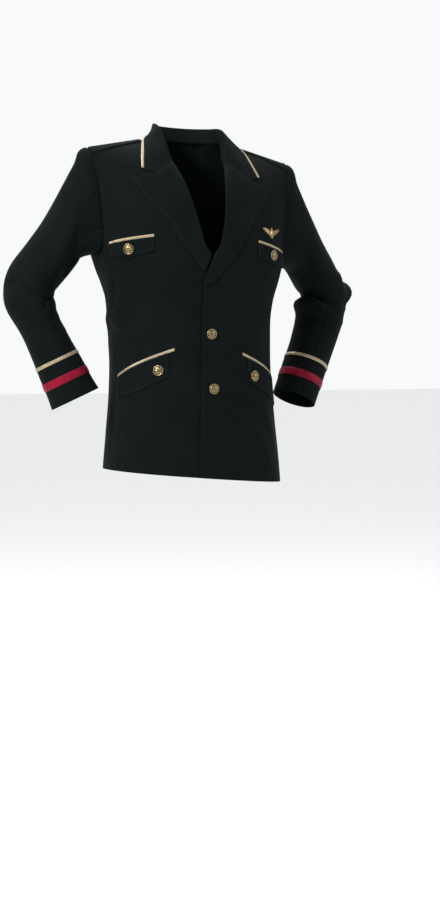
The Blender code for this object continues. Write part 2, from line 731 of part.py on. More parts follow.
def lapel_grid(side, tree):
    heights, across = roll_line(side)
    other_heights, other_across = roll_line(-side)
    foot = LAPEL_FOOT[side]
    gorge = np.array([across[-1], heights[-1]])
    notch, point = np.array(NOTCH), np.array(LAPEL_POINT)
    grid, ways = [], []
    for row in range(LAPEL_ROWS + 1):
        share = row / LAPEL_ROWS
        roll_height = foot + (gorge[1] - foot) * share
        roll_across = np.interp(roll_height, heights, across)
        if side < 0:
            covered = -np.interp(roll_height, other_heights, other_across)
            roll_across = max(roll_across, covered + LAPEL_CLEAR)
        edge_height = foot + (point[1] - foot) * share
        edge = np.array([smooth(LAPEL_EDGE, "across", edge_height), edge_height])
        roll = np.array([roll_across, roll_height])
        width = np.linalg.norm(edge - roll)
        flat_from = min(ROLL_PROFILE[-1][0], ROLL_SHARE * width)
        target = (roll + edge) / 2 + share**GORGE_PULL * (notch - (gorge + point) / 2)
        first = roll + flat_from * unit(target - roll)
        line = [roll_point(side, tree, roll, target, profile) for profile in ROLL_PROFILE[:-1]]
        line.append(laid(tree, *place(side, *first), ROLL_PROFILE[-1][1]))
        roll_way = normal(*place(side, *(roll + ROLL_STEP * unit(target - roll))))
        ways.append([roll_way] * STAND_COLUMNS + [normal(*place(side, *first))])
        middle = (first + edge) / 2
        for leaf in LEAF_SHARES:
            spot = first + (edge - first) * leaf + (1 - abs(2 * leaf - 1)) * (target - middle)
            settle = 1 - ease(np.linalg.norm(spot - roll), ROLL_PROFILE[-1][0], ROLL_FLAT)
            out = FLAT + (ROLL_PROFILE[-1][1] - FLAT) * settle
            line.append(laid(tree, *place(side, *spot), out))
            ways[-1].append(normal(*place(side, *spot)))
        grid.append(line)
    return np.array(grid), np.array(ways)


def rest_foot(tree, skin, inner, ways):
    foot = np.stack([skin[:, 0], inner[:, 0]], axis=1)
    lift = rested(tree, foot, np.repeat(ways[:, :1], 2, axis=1), GAP)
    skin[:, 0] += lift[:, 0]
    inner[:, 0] += lift[:, 1]


def rest_stand(tree, skin, inner):
    """Keeps a collar's stand on the neck side of the panels."""
    away = skin[:, :1] * (1, 1, 0)
    away[..., 1] = np.maximum(away[..., 1], 0)
    ways = np.repeat(-unit(away), STAND_COLUMNS, axis=1)
    lift = rested(tree, inner[:, :STAND_COLUMNS], ways, 2 * GAP)
    skin[:, :STAND_COLUMNS] += lift
    inner[:, :STAND_COLUMNS] += lift


def rest_leaf(tree, skin, inner, ways):
    lift = rested(tree, inner[:, FOLD_COLUMN:], ways[:, FOLD_COLUMN:], 4 * GAP)
    skin[:, FOLD_COLUMN:] += lift
    inner[:, FOLD_COLUMN:] += lift


def cleared(tree, point, least):
    """The point itself, or moved out from the nearest face to a least distance."""
    spot, facing, _, _ = tree.find_nearest(Vector(point))
    spot, facing = np.array(spot), np.array(facing)
    away = np.dot(point - spot, facing)
    return point if away >= least else spot + least * facing


def collar_half(side, tree, lapel_top):
    """Rows across the collar from the centre back to its end on one side."""
    feet, folds, edges = [], [], []
    for station in COLLAR:
        angle = side * station.foot_angle
        foot = torso(angle, 1)
        away = unit(np.array([foot[0], max(foot[1], 0), 0]))
        feet.append(foot - STAND_INSIDE * away)
        folds.append(lean(np.array(station.fold) * (side, 1, 1)))
        edges.append(laid(tree, side * station.edge_angle, station.edge_level, FLAT))
    end = laid(tree, *place(side, *COLLAR_POINT), FLAT)
    notch = lapel_top[NOTCH_COLUMN]
    feet = smooth_path(feet + [lapel_top[0]], COLLAR_STEPS + 1)
    folds = smooth_path(folds + [lapel_top[FOLD_COLUMN]], COLLAR_STEPS + 1)
    edges = smooth_path(edges + [end], COLLAR_STEPS + 1)
    rows, ways = [], []
    for step in range(COLLAR_STEPS):
        foot, fold, edge = feet[step], folds[step], edges[step]
        up = unit(fold - foot)
        run = folds[step + 1] - folds[max(step - 1, 0)]
        out = unit(np.cross(run, up))
        out *= math.copysign(1, np.dot(out, edge - fold))
        start = fold + COLLAR_FOLD[0] * out + COLLAR_FOLD[1] * up
        row = [foot, (foot + fold) / 2 - STAND_HOLLOW * out, fold, start]
        bend = (step / COLLAR_STEPS) ** GORGE_PULL
        pull = bend * (notch - (lapel_top[START_COLUMN] + end) / 2)
        for leaf in LEAF_SHARES:
            point = start + (edge - start) * leaf + 4 * leaf * (1 - leaf) * COLLAR_BULGE * out
            row.append(cleared(tree, point + (1 - abs(2 * leaf - 1)) * pull, FLAT))
        rows.append(row)
        ways.append([cleared(tree, point, 1) - point for point in row])
    shared = list(lapel_top[: NOTCH_COLUMN + 1])
    rows.append(shared + [cleared(tree, (notch + end) / 2, FLAT), end])
    ways.append([cleared(tree, point, 1) - point for point in rows[-1]])
    return np.array(rows), unit(np.array(ways))


def collar_and_lapels(tree, look):
    lapels = {}
    for side in (-1, 1):
        skin, ways = lapel_grid(side, tree)
        inner = skin - FOLDED_CLOTH * grid_normals(skin, normal(*place(side, *NOTCH)))
        rest_foot(tree, skin, inner, ways)
        rest_leaf(tree, skin, inner, ways)
        lapels[side] = (skin, inner)
    right, right_ways = collar_half(-1, tree, lapels[-1][0][-1])
    left, left_ways = collar_half(1, tree, lapels[1][0][-1])
    skin = np.concatenate([right[::-1], left[1:]])
    ways = np.concatenate([right_ways[::-1], left_ways[1:]])
    inner = skin - FOLDED_CLOTH * grid_normals(skin, np.array([0, 1, 0]))
    rest_stand(tree, skin, inner)
    shared = slice(NOTCH_COLUMN + 1)
    for end, side in ((0, -1), (-1, 1)):
        lapel, lapel_inner = lapels[side]
        skin[end, shared], inner[end, shared] = lapel[-1, shared], lapel_inner[-1, shared]
    rest_leaf(tree, skin, inner, ways)
    for end, side in ((0, -1), (-1, 1)):
        lapel, lapel_inner = lapels[side]
        lapel[-1, shared], lapel_inner[-1, shared] = skin[end, shared], inner[end, shared]
        inset(lapel, lapel_inner, "last row")
        wall("lapel_left" if side > 0 else "lapel_right", lapel, lapel_inner, look)
    inset(skin, inner, "first row", "last row")
    return wall("collar", skin, inner, look)


def collar_braid(collar, look):
    """A braid along the collar's outer edge."""
    half = len(collar.data.vertices) // 2
    skin = np.array([vertex.co for vertex in collar.data.vertices])[:half]
    skin = skin.reshape(-1, LEAF_COLUMNS, 3)
    facing = grid_normals(skin, np.array([0, 1, 0]))[:, -1:]
    edge, beside = skin[:, -1], skin[:, -2]
    strip = np.stack([edge + BRAID * unit(beside - edge), edge], axis=1)
    ways = np.repeat(facing, 2, axis=1)
    low = strip + rested(skins(collar), strip, ways, GAP)
    return wall("collar_braid", low + TRIM * ways, low, look)


def patch(name, spots, thickness, tree, look):
    """A piece that lies on the jacket, over a grid of (angle, level) places."""
    ways = np.array([[normal(*spot) for spot in line] for line in spots])
    low = np.array([[laid(tree, *spot, GAP) for spot in line] for line in spots])
    low += rested(tree, low, ways, GAP)
    return wall(name, low + thickness * ways, low, look)


def flap(row, tree, look):
    spots = []
    for down in np.linspace(0, 1, FLAP_ROWS + 1):
        line = []
        for share in np.linspace(0, 1, FLAP_COLUMNS + 1):
            angle = row.side * (row.inner + (row.outer - row.inner) * share)
            top = row.top_inner + (row.top_outer - row.top_inner) * share - BRAID / 2 - GAP
            deep = row.deep_inner + (row.deep_outer - row.deep_inner) * share
            deep += row.point * (1 - abs(2 * share - 1))
            line.append((angle, level_at(angle, top - deep * down)))
        spots.append(line)
    return patch(row.name, spots, FOLDED_CLOTH, tree, look)


def flap_braid(row, tree, look):
    first = row.inner - (BRAID_PAST_HIP_FLAP if row.name.startswith("hip") else 0)
    slope = (row.top_outer - row.top_inner) / (row.outer - row.inner)
    spots = []
    for up in (-BRAID / 2, BRAID / 2):
        line = []
        for away in np.linspace(first, row.outer, FLAP_COLUMNS + 2):
            height = row.top_inner + slope * (away - row.inner) + up
            line.append((row.side * away, level_at(row.side * away, height)))
        spots.append(line)
    return patch(row.name.replace("flap", "braid"), spots, TRIM, tree, look)


def shoulder_strap(side, tree, look):
    up = np.array([0.0, 0.0, 1.0])
    low = []
    for share in np.linspace(0, 1, STRAP_ROWS + 1):
        out = STRAP_FROM + (STRAP_TO - STRAP_FROM) * share
        outwards = (out - NECK_HALF) / (SHOULDER_HALF - NECK_HALF)
        z = torso(side * (NECK_ANGLE + (ARMHOLE_TOP_ANGLE - NECK_ANGLE) * outwards), 1)[2]
        half = STRAP_HALF_WIDTHS[0] + (STRAP_HALF_WIDTHS[1] - STRAP_HALF_WIDTHS[0]) * share
        line = []
        for y in np.linspace(-half, half, STRAP_COLUMNS + 1):
            hit = under(tree, np.array([side * out, y + STRAP_BACK, z]), up)
            line.append((side * out, y, (z if hit is None else hit[2]) + GAP))
        low.append(line)
    low = np.array(low)
    low += rested(tree, low, np.broadcast_to(up, low.shape), 3 * GAP)
    name = "shoulder_strap_left" if side > 0 else "shoulder_strap_right"
    return wall(name, low + FOLDED_CLOTH * up, low, look)


# (out, up) in button radii, from the middle of the back round the rim to the top of the dome.
BUTTON_PROFILE = (
    (0.00, 0.00),
    (0.87, 0.00),
    (1.00, 0.09),
    (1.00, 0.20),
    (0.88, 0.28),
    (0.76, 0.24),
    (0.45, 0.42),
    (0.00, 0.50),
)
BUTTON_STEPS = 16
SAME_POINT = 0.00005


def set_down(item, tree, angle, level, out):
    """Moves an object whose base is at its origin onto the jacket, facing out."""
    item.location = laid(tree, angle, level, out)
    facing = Vector(normal(angle, level))
    up = Vector((0, 0, 1)) - facing * facing.z
    right = up.cross(facing).normalized()
    item.rotation_euler = Matrix((right, facing.cross(right), facing)).transposed().to_euler()


def button(row, tree, look):
    mesh = bpy.data.meshes.new(row.name)
    points = [(BUTTON_RADIUS * out, 0, BUTTON_RADIUS * up) for out, up in BUTTON_PROFILE]
    mesh.from_pydata(points, [(k, k + 1) for k in range(len(points) - 1)], [])
    item = finish(bpy.data.objects.new(row.name, mesh), look)
    turn = item.modifiers.new("turn", "SCREW")
    turn.steps = BUTTON_STEPS
    turn.render_steps = BUTTON_STEPS
    turn.use_merge_vertices = True
    turn.merge_threshold = SAME_POINT
    turn.use_normal_calculate = True
    set_down(item, tree, row.angle, level_at(row.angle, row.height), 2 * GAP)
    return item


# One half of the wings, from their middle out: the heights of the upper and lower edges.
Wing = namedtuple("Wing", "out upper lower")
WINGS = (
    Wing(0.0000, 0.0125, -0.0105),
    Wing(0.0022, 0.0125, -0.0100),
    Wing(0.0027, 0.0088, -0.0096),
    Wing(0.0044, 0.0072, -0.0090),
    Wing(0.0052, 0.0065, -0.0054),
    Wing(0.0092, 0.0066, -0.0050),
    Wing(0.0106, 0.0072, -0.0026),
    Wing(0.0156, 0.0092, -0.0022),
    Wing(0.0172, 0.0099, 0.0008),
    Wing(0.0220, 0.0110, 0.0018),
    Wing(0.0236, 0.0110, 0.0046),
    Wing(0.0282, 0.0103, 0.0060),
    Wing(0.0300, 0.0096, 0.0086),
)


def badge(tree, look):
    """A thin pair of wings that follows the chest."""
    angle, level = BADGE_AT[0], level_at(*BADGE_AT)
    middle = torso(angle, level)
    right = unit((torso(angle + 1, level) - torso(angle - 1, level)) * (1, 1, 0))
    spots = []
    for edge in ("upper", "lower"):
        halves = [(-wing.out, getattr(wing, edge)) for wing in WINGS[:0:-1]]
        halves += [(wing.out, getattr(wing, edge)) for wing in WINGS]
        line = []
        for out, up in halves:
            across, _, height = middle + out * right
            line.append(place(1, across, height + up))
        spots.append(line)
    return patch("wings_badge", spots, BADGE_THICKNESS, tree, look)


# ---------------------------------------------------------------- the jacket


def main():
    clear_scene()
    panels = []
    for arm in ARMS:
        rings = sleeve_rings(arm)
        normals = ring_normals(rings)
        body_edge, sleeve_edge = armhole_inner(arm.side, rings, normals)
        panels.append(front_panel(arm.side, SUITING, body_edge))
        panels.append(back_panel(arm.side, SUITING, body_edge))
        panels.append(side_panel(arm.side, SUITING, body_edge))
        panels.extend(sleeve(arm, SUITING, rings, normals, sleeve_edge))
        hand = "left" if arm.side > 0 else "right"
        cuff_band(arm, f"cuff_braid_{hand}", BRAID_UP_CUFF, CUFF_BRAID, GOLD_BRAID, rings, normals)
        cuff_band(arm, f"cuff_ribbon_{hand}", RIBBON_UP_CUFF, CUFF_RIBBON, RED_RIBBON, rings, normals)
    body = skins(*panels)
    collar = collar_and_lapels(body, SUITING)
    collar_braid(collar, GOLD_BRAID)
    flaps = []
    for row in FLAPS:
        flaps.append(flap(row, body, SUITING))
        flap_braid(row, body, GOLD_BRAID)
    for side in (-1, 1):
        shoulder_strap(side, body, SUITING)
    over = skins(*panels, *flaps)
    for row in BUTTONS:
        button(row, over, GOLD_METAL)
    badge(over, GOLD_METAL)


main()
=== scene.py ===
"""The looks of a pilot's uniform jacket, worn with the hands on the hips and shown without its wearer.

Every cloth piece is a thin folded-edge shell on the same form as its CAD solid, with its folds and creases
placed one by one.

Metres, in the frame of the CAD: +X is the wearer's left, the front faces -Y and +Z is up, and the origin is
midway between the neck points of the two shoulder seams. Angles go round the body in degrees, from 0 at
the centre front to 90 on the wearer's left. A level up to 0 is a height from the chest line, and 0 to 1
rises from there to the neckline and the shoulder seam.
"""

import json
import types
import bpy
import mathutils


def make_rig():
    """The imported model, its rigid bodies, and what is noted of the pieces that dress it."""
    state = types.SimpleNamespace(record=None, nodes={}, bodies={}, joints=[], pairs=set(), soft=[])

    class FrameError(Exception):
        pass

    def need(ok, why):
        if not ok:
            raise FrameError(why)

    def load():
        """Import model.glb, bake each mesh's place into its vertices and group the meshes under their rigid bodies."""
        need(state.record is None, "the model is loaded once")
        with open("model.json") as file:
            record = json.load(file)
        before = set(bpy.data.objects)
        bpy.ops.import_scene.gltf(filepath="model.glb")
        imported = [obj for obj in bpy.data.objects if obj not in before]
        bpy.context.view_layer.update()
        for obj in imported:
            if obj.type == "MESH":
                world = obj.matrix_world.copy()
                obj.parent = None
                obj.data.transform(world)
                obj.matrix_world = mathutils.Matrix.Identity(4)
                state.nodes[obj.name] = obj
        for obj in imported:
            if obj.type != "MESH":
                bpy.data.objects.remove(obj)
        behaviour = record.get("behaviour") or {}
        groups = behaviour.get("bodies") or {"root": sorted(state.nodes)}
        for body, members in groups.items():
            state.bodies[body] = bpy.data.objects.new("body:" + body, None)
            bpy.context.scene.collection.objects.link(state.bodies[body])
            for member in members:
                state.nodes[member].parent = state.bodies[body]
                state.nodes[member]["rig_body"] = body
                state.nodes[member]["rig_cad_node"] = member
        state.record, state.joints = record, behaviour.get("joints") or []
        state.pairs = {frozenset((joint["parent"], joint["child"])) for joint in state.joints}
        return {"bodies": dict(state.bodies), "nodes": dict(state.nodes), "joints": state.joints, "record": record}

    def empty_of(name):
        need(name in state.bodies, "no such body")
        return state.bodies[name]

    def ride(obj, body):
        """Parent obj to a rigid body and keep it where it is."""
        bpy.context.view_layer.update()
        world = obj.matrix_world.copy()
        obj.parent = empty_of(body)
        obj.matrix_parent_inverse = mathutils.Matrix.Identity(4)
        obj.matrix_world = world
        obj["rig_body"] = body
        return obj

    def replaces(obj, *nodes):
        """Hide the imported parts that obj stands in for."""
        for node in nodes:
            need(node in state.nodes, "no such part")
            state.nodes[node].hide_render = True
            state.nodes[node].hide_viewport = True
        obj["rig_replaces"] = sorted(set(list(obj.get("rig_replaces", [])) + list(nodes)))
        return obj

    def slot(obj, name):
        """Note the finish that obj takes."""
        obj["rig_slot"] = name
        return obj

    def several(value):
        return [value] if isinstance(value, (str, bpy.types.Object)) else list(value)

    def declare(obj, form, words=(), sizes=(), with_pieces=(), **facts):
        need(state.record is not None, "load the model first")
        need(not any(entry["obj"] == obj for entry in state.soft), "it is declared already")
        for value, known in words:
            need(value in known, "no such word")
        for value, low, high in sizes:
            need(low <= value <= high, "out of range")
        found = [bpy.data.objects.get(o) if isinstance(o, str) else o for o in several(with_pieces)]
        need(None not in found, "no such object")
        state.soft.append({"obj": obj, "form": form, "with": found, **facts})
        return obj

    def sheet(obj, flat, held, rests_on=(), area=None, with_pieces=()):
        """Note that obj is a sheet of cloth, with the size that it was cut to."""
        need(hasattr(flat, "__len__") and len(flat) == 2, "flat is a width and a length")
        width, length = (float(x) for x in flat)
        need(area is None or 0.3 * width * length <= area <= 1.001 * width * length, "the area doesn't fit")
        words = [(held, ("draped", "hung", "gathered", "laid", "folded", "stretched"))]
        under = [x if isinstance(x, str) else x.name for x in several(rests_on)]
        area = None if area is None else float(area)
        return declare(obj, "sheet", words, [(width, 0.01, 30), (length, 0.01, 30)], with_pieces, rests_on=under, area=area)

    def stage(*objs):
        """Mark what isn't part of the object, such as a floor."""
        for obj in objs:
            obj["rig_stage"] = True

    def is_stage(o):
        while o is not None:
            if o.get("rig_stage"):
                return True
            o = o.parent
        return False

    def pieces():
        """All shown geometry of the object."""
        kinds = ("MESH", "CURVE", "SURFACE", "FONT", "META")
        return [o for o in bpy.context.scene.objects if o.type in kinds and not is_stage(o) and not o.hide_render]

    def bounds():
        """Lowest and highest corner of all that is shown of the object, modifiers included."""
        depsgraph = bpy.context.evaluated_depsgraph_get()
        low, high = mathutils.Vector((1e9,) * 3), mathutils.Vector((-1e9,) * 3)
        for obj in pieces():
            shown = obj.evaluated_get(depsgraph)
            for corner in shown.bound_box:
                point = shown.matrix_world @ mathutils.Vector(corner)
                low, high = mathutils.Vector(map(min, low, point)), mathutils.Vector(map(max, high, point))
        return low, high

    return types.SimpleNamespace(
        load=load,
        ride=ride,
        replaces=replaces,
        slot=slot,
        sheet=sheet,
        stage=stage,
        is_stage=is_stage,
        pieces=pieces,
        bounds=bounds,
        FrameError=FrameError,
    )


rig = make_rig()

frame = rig.load()

import json
import math
from collections import namedtuple

import bmesh
import bpy
import numpy as np
from mathutils import Matrix, Vector
from mathutils.bvhtree import BVHTree

CAD_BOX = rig.bounds()

# ---------------------------------------------------------------- the form of the jacket

CLOTH = 0.002  # wall of the suiting
FOLDED_CLOTH = 0.0022  # wall of the collar, the lapels and the flaps
TRIM = 0.0012  # height of braid and ribbon
BRAID = 0.006  # width of the braid on the collar and over the flaps
GAP = 0.0003  # between two pieces
HANDS = {-1: "right", 1: "left"}  # by the sign of X

HEM = -0.741
BREAK = -0.325  # where the lapels start to turn
CHEST = -0.256  # the chest line, at the foot of the armholes
SQUARENESS = 2.4  # of a section of the body: 2 is an ellipse

Section = namedtuple("Section", "height half_width front back centre")
BODY = (
    Section(HEM, 0.200, 0.147, 0.126, 0.008),
    Section(-0.664, 0.194, 0.145, 0.121, 0.008),
    Section(-0.584, 0.186, 0.143, 0.114, 0.006),
    Section(-0.506, 0.182, 0.140, 0.107, 0.003),
    Section(-0.436, 0.184, 0.138, 0.103, 0.000),
    Section(-0.376, 0.187, 0.138, 0.104, -0.001),
    Section(-0.341, 0.194, 0.139, 0.108, -0.002),
    Section(-0.301, 0.208, 0.141, 0.113, -0.003),
    Section(CHEST, 0.222, 0.142, 0.118, -0.004),
)
NECK_HALF = 0.078
NECK_ANGLE = 24  # of a neck point
NECK_PIT = (-0.070, -0.092)  # y and z of the neckline at the centre front
NAPE = (0.068, 0.002)  # and at the centre back
SHOULDER_HALF = 0.238
SHOULDER_DROP = 0.036
YOKE_BEND = 1.25
ARMHOLE_FOOT_ANGLE = 70
ARMHOLE_TOP_ANGLE = 64
ARMHOLE_SCOOP = 0.014
SHOULDER_ROLL = 0.044  # how far the jacket slopes down to the left, per metre across
HEM_ROLL = 0.085

FrontEdge = namedtuple("FrontEdge", "level left right")
FRONT_EDGE = (
    FrontEdge(HEM - CHEST, -0.0305, -0.0195),
    FrontEdge(BREAK - CHEST - 0.010, -0.0195, -0.0195),
    FrontEdge(BREAK - CHEST, -0.0190, -0.0190),
    FrontEdge(0.000, 0.0040, 0.0040),
    FrontEdge(0.213, 0.0280, 0.0280),
    FrontEdge(0.436, 0.0400, 0.0400),
    FrontEdge(0.700, 0.0535, 0.0535),
    FrontEdge(1.000, 0.0700, 0.0700),
)
LAP = 0.0031  # how far the left front stands out over the right one
LAP_FADE = (0.022, 0.080)

Arm = namedtuple("Arm", "side elbow cuff bend_radius")
ARMS = (
    Arm(-1, (-0.372, 0.030, -0.3346), (-0.268, -0.012, -0.570), 0.075),
    Arm(1, (0.3747, 0.065, -0.3466), (0.272, 0.026, -0.578), 0.060),
)
Ring = namedtuple("Ring", "along across depth shift point", defaults=(0.0, 0.0))
RIGHT_RINGS = (
    Ring(-0.122, 0.0555, 0.062),
    Ring(-0.080, 0.0555, 0.059),
    Ring(-0.044, 0.0560, 0.057),
    Ring(0.000, 0.0560, 0.056),
    Ring(0.022, 0.0550, 0.055),
    Ring(0.044, 0.0510, 0.054),
    Ring(0.090, 0.0460, 0.051),
    Ring(0.135, 0.0470, 0.050),
    Ring(0.195, 0.0510, 0.049),
    Ring(0.235, 0.0530, 0.049),
    Ring(0.262, 0.0560, 0.049),
)
LEFT_RINGS = (
    Ring(-0.122, 0.0510, 0.060),
    Ring(-0.080, 0.0500, 0.058),
    Ring(-0.044, 0.0480, 0.056),
    Ring(-0.022, 0.0460, 0.056, 0.000, 0.006),
    Ring(0.000, 0.0460, 0.056, 0.000, 0.018),
    Ring(0.022, 0.0520, 0.055, -0.003),
    Ring(0.044, 0.0550, 0.055, -0.003),
    Ring(0.090, 0.0520, 0.053),
    Ring(0.135, 0.0490, 0.051),
    Ring(0.195, 0.0510, 0.050),
    Ring(0.235, 0.0500, 0.050),
    Ring(0.256, 0.0500, 0.050),
)
RINGS = {-1: RIGHT_RINGS, 1: LEFT_RINGS}
CAP_START = 0.30
LOOP = 20  # stations round an armhole: 8 down the front, 4 under the arm and 8 up the back
LOOP_FRONT = 8
LOOP_UNDER = 4
FRONT_SLEEVE_SEAM = 7
BACK_SLEEVE_SEAM = 15
BRAID_UP_CUFF = 0.0915
CUFF_BRAID = 0.0075
RIBBON_UP_CUFF = 0.0485
CUFF_RIBBON = 0.0175

GORGE_LEVEL = 0.88
NOTCH = (0.108, -0.0876)
COLLAR_POINT = (0.139, -0.078)
LAPEL_POINT = (0.163, -0.103)
LapelEdge = namedtuple("LapelEdge", "height across")
LAPEL_EDGE = (
    LapelEdge(-0.332, -0.0195),
    LapelEdge(-0.305, 0.0120),
    LapelEdge(-0.286, 0.0270),
    LapelEdge(-0.248, 0.0600),
    LapelEdge(-0.210, 0.0850),
    LapelEdge(-0.176, 0.1070),
    LapelEdge(-0.139, 0.1370),
    LapelEdge(LAPEL_POINT[1], LAPEL_POINT[0]),
)
LAPEL_FOOT = {1: -0.324, -1: -0.293}
LAPEL_CLEAR = 0.007
ROLL_PROFILE = ((0.0010, 0.0005), (-0.0006, 0.0025), (0.0004, 0.0050), (0.0050, 0.0058))
ROLL_FLAT = 0.030

Station = namedtuple("Station", "foot_angle fold edge_angle edge_level")
COLLAR = (
    Station(180, (0.0000, 0.073, 0.034), 180, 0.71),
    Station(168, (0.0360, 0.066, 0.034), 168, 0.77),
    Station(158, (0.0640, 0.040, 0.033), 158, 0.88),
    Station(24, (0.0735, 0.010, 0.031), 30, 1.00),
    Station(23, (0.0745, -0.014, 0.024), 33, 0.88),
    Station(20, (0.0730, -0.036, 0.002), 35, 0.76),
    Station(17, (0.0695, -0.053, -0.022), 36.5, 0.64),
)
COLLAR_FOLD = (0.0044, 0.0012)
COLLAR_BULGE = 0.002
STAND_INSIDE = 0.0038

Flap = namedtuple("Flap", "name side inner outer top_inner top_outer deep_inner deep_outer point")
FLAPS = (
    Flap("chest_flap_right", -1, 32.4, 63.5, -0.2265, -0.2465, 0.028, 0.022, 0.010),
    Flap("chest_flap_left", 1, 31.0, 62.0, -0.2215, -0.2400, 0.028, 0.022, 0.010),
    Flap("hip_flap_right", -1, 31.0, 77.0, -0.4745, -0.5335, 0.050, 0.048, 0.008),
    Flap("hip_flap_left", 1, 27.5, 75.0, -0.4730, -0.5260, 0.050, 0.048, 0.008),
)
BRAID_PAST_HIP_FLAP = 4.5
STRAP_FROM, STRAP_TO = 0.118, 0.2335
STRAP_HALF_WIDTHS = (0.018, 0.0195)
BUTTON_RADIUS = 0.0115
Button = namedtuple("Button", "name angle height")
BUTTONS = (
    Button("front_button_upper", -0.7, -0.430),
    Button("front_button_lower", -1.0, -0.548),
    Button("chest_button_right", -47.5, -0.2580),
    Button("chest_button_left", 42.5, -0.2480),
    Button("hip_button_right", -38.1, -0.5160),
    Button("hip_button_left", 31.5, -0.5140),
)
BADGE_AT = (42.5, -0.192)
BADGE_THICKNESS = 0.0018


def hermite(u, start, end, leave, arrive):
    """The curve from start to end that leaves and arrives with the given slopes, a share u of the way on."""
    keep = (1 + 2 * u) * (1 - u) ** 2 * start + u * u * (3 - 2 * u) * end
    return keep + u * (1 - u) ** 2 * leave - u * u * (1 - u) * arrive


def between(ends, share):
    """The value that lies a share of the way from the first end to the second."""
    return ends[0] + (ends[1] - ends[0]) * share


def curve_through(xs, ys, at):
    """A smooth curve through values, at any places."""
    slopes = np.gradient(ys, xs, axis=0)
    at = np.clip(at, xs[0], xs[-1])
    k = np.clip(np.searchsorted(xs, at, side="right") - 1, 0, len(xs) - 2)
    span = xs[k + 1] - xs[k]
    u = (at - xs[k]) / span
    if ys.ndim > 1:
        u, span = u[..., None], span[..., None]
    return hermite(u, ys[k], ys[k + 1], span * slopes[k], span * slopes[k + 1])


def smooth(rows, column, at):
    """A column of a table at any value of its first column, as a curve through its rows."""
    xs = np.array([row[0] for row in rows], float)
    ys = np.array([getattr(row, column) for row in rows], float)
    return curve_through(xs, ys, np.asarray(at, float))


def smooth_path(points, count, before=None):
    """Evenly spaced points along a curve through the given ones, which may carry on from one before them."""
    points = np.array(points if before is None else [before, *points], float)
    lengths = np.linalg.norm(np.diff(points, axis=0), axis=1)
    along = np.concatenate([[0], np.cumsum(lengths)])
    start = 0 if before is None else along[1]
    return curve_through(along, points, np.linspace(start, along[-1], count))


def ease(value, start, end):
    """0 before the start, 1 after the end, and a smooth step between."""
    u = np.clip((np.asarray(value, float) - start) / (end - start), 0, 1)
    return u * u * (3 - 2 * u)


def unit(vector):
    """Each vector at a length of 1."""
    return vector / np.maximum(np.linalg.norm(vector, axis=-1, keepdims=True), 1e-12)


def body_point(angle, height):
    """The body below the chest line, before the jacket leans."""
    s, c = np.sin(np.radians(angle)), np.cos(np.radians(angle))
    grow = (np.abs(s) ** SQUARENESS + np.abs(c) ** SQUARENESS) ** (-1 / SQUARENESS)
    depth = np.where(c > 0, smooth(BODY, "front", height), smooth(BODY, "back", height))
    x = smooth(BODY, "centre", height) + smooth(BODY, "half_width", height) * s * grow
    return np.stack([x, -depth * c * grow, height], axis=-1)


def top_line(angle):
    """The neckline between the two neck points, and the shoulder seam outside them."""
    front = np.abs(angle) < 90
    side = np.copysign(1, angle)
    away = np.where(front, np.abs(angle), 180 - np.abs(angle))
    turn = np.radians(90 * np.clip(away / NECK_ANGLE, 0, 1))
    pit_y = np.where(front, NECK_PIT[0], NAPE[0])
    pit_z = np.where(front, NECK_PIT[1], NAPE[1])
    neck = np.stack([side * NECK_HALF * np.sin(turn), pit_y * np.cos(turn), pit_z * np.cos(turn)], axis=-1)
    out = (away - NECK_ANGLE) / (ARMHOLE_TOP_ANGLE - NECK_ANGLE)
    x = NECK_HALF + (SHOULDER_HALF - NECK_HALF) * out
    seam = np.stack([side * x, np.zeros_like(x), -SHOULDER_DROP * out], axis=-1)
    return np.where((away < NECK_ANGLE)[..., None], neck, seam)


def lean(points):
    """The wearer's stance: the whole jacket slopes down to the left, more at the hem."""
    roll = SHOULDER_ROLL + (HEM_ROLL - SHOULDER_ROLL) * points[..., 2] / HEM
    leaned = np.array(points, float)
    leaned[..., 2] -= roll * points[..., 0]
    return leaned


def torso(angle, level):
    """The outer skin of the body, before its folds."""
    angle, level = np.broadcast_arrays(np.asarray(angle, float), np.asarray(level, float))
    chest = body_point(angle, CHEST + np.minimum(level, 0))
    top = top_line(angle)
    turn = np.radians(90 * np.clip(level, 0, 1))
    x = chest[..., 0] + (top[..., 0] - chest[..., 0]) * np.sin(turn) ** 2
    y = top[..., 1] + (chest[..., 1] - top[..., 1]) * np.abs(np.cos(turn)) ** YOKE_BEND
    y = np.where(level > 0, y, chest[..., 1])
    z = chest[..., 2] + (top[..., 2] - chest[..., 2]) * np.sin(turn)
    return lean(np.stack([x, y, z], axis=-1))


ANGLE_STEP = 0.5  # the steps over which the skin's slope is taken
LEVEL_STEP = 0.02
BELOW_TOP = 0.999  # keeps off the neckline, where the skin has a corner


def one_side_normal(angle, level):
    """The form's outward normal, from small steps round it and up it."""
    low = np.maximum(level - LEVEL_STEP, HEM - CHEST)
    high = np.minimum(level + LEVEL_STEP, 1)
    shared = np.where(level > 0, level * BELOW_TOP, level)
    round_it = torso(angle + ANGLE_STEP, shared) - torso(angle - ANGLE_STEP, shared)
    return unit(np.cross(round_it, torso(angle, high) - torso(angle, low)))


def normal(angle, level):
    """Which way the skin faces, shared by the front and the back at the shoulder seam."""
    angle, level = np.broadcast_arrays(np.asarray(angle, float), np.asarray(level, float))
    own = one_side_normal(angle, level)
    other = one_side_normal(np.copysign(180, angle) - angle, level)
    away = np.minimum(np.abs(angle), 180 - np.abs(angle))
    seam = (level >= 1) & (away >= NECK_ANGLE - 0.01)
    return np.where(seam[..., None], unit(own + other), own)


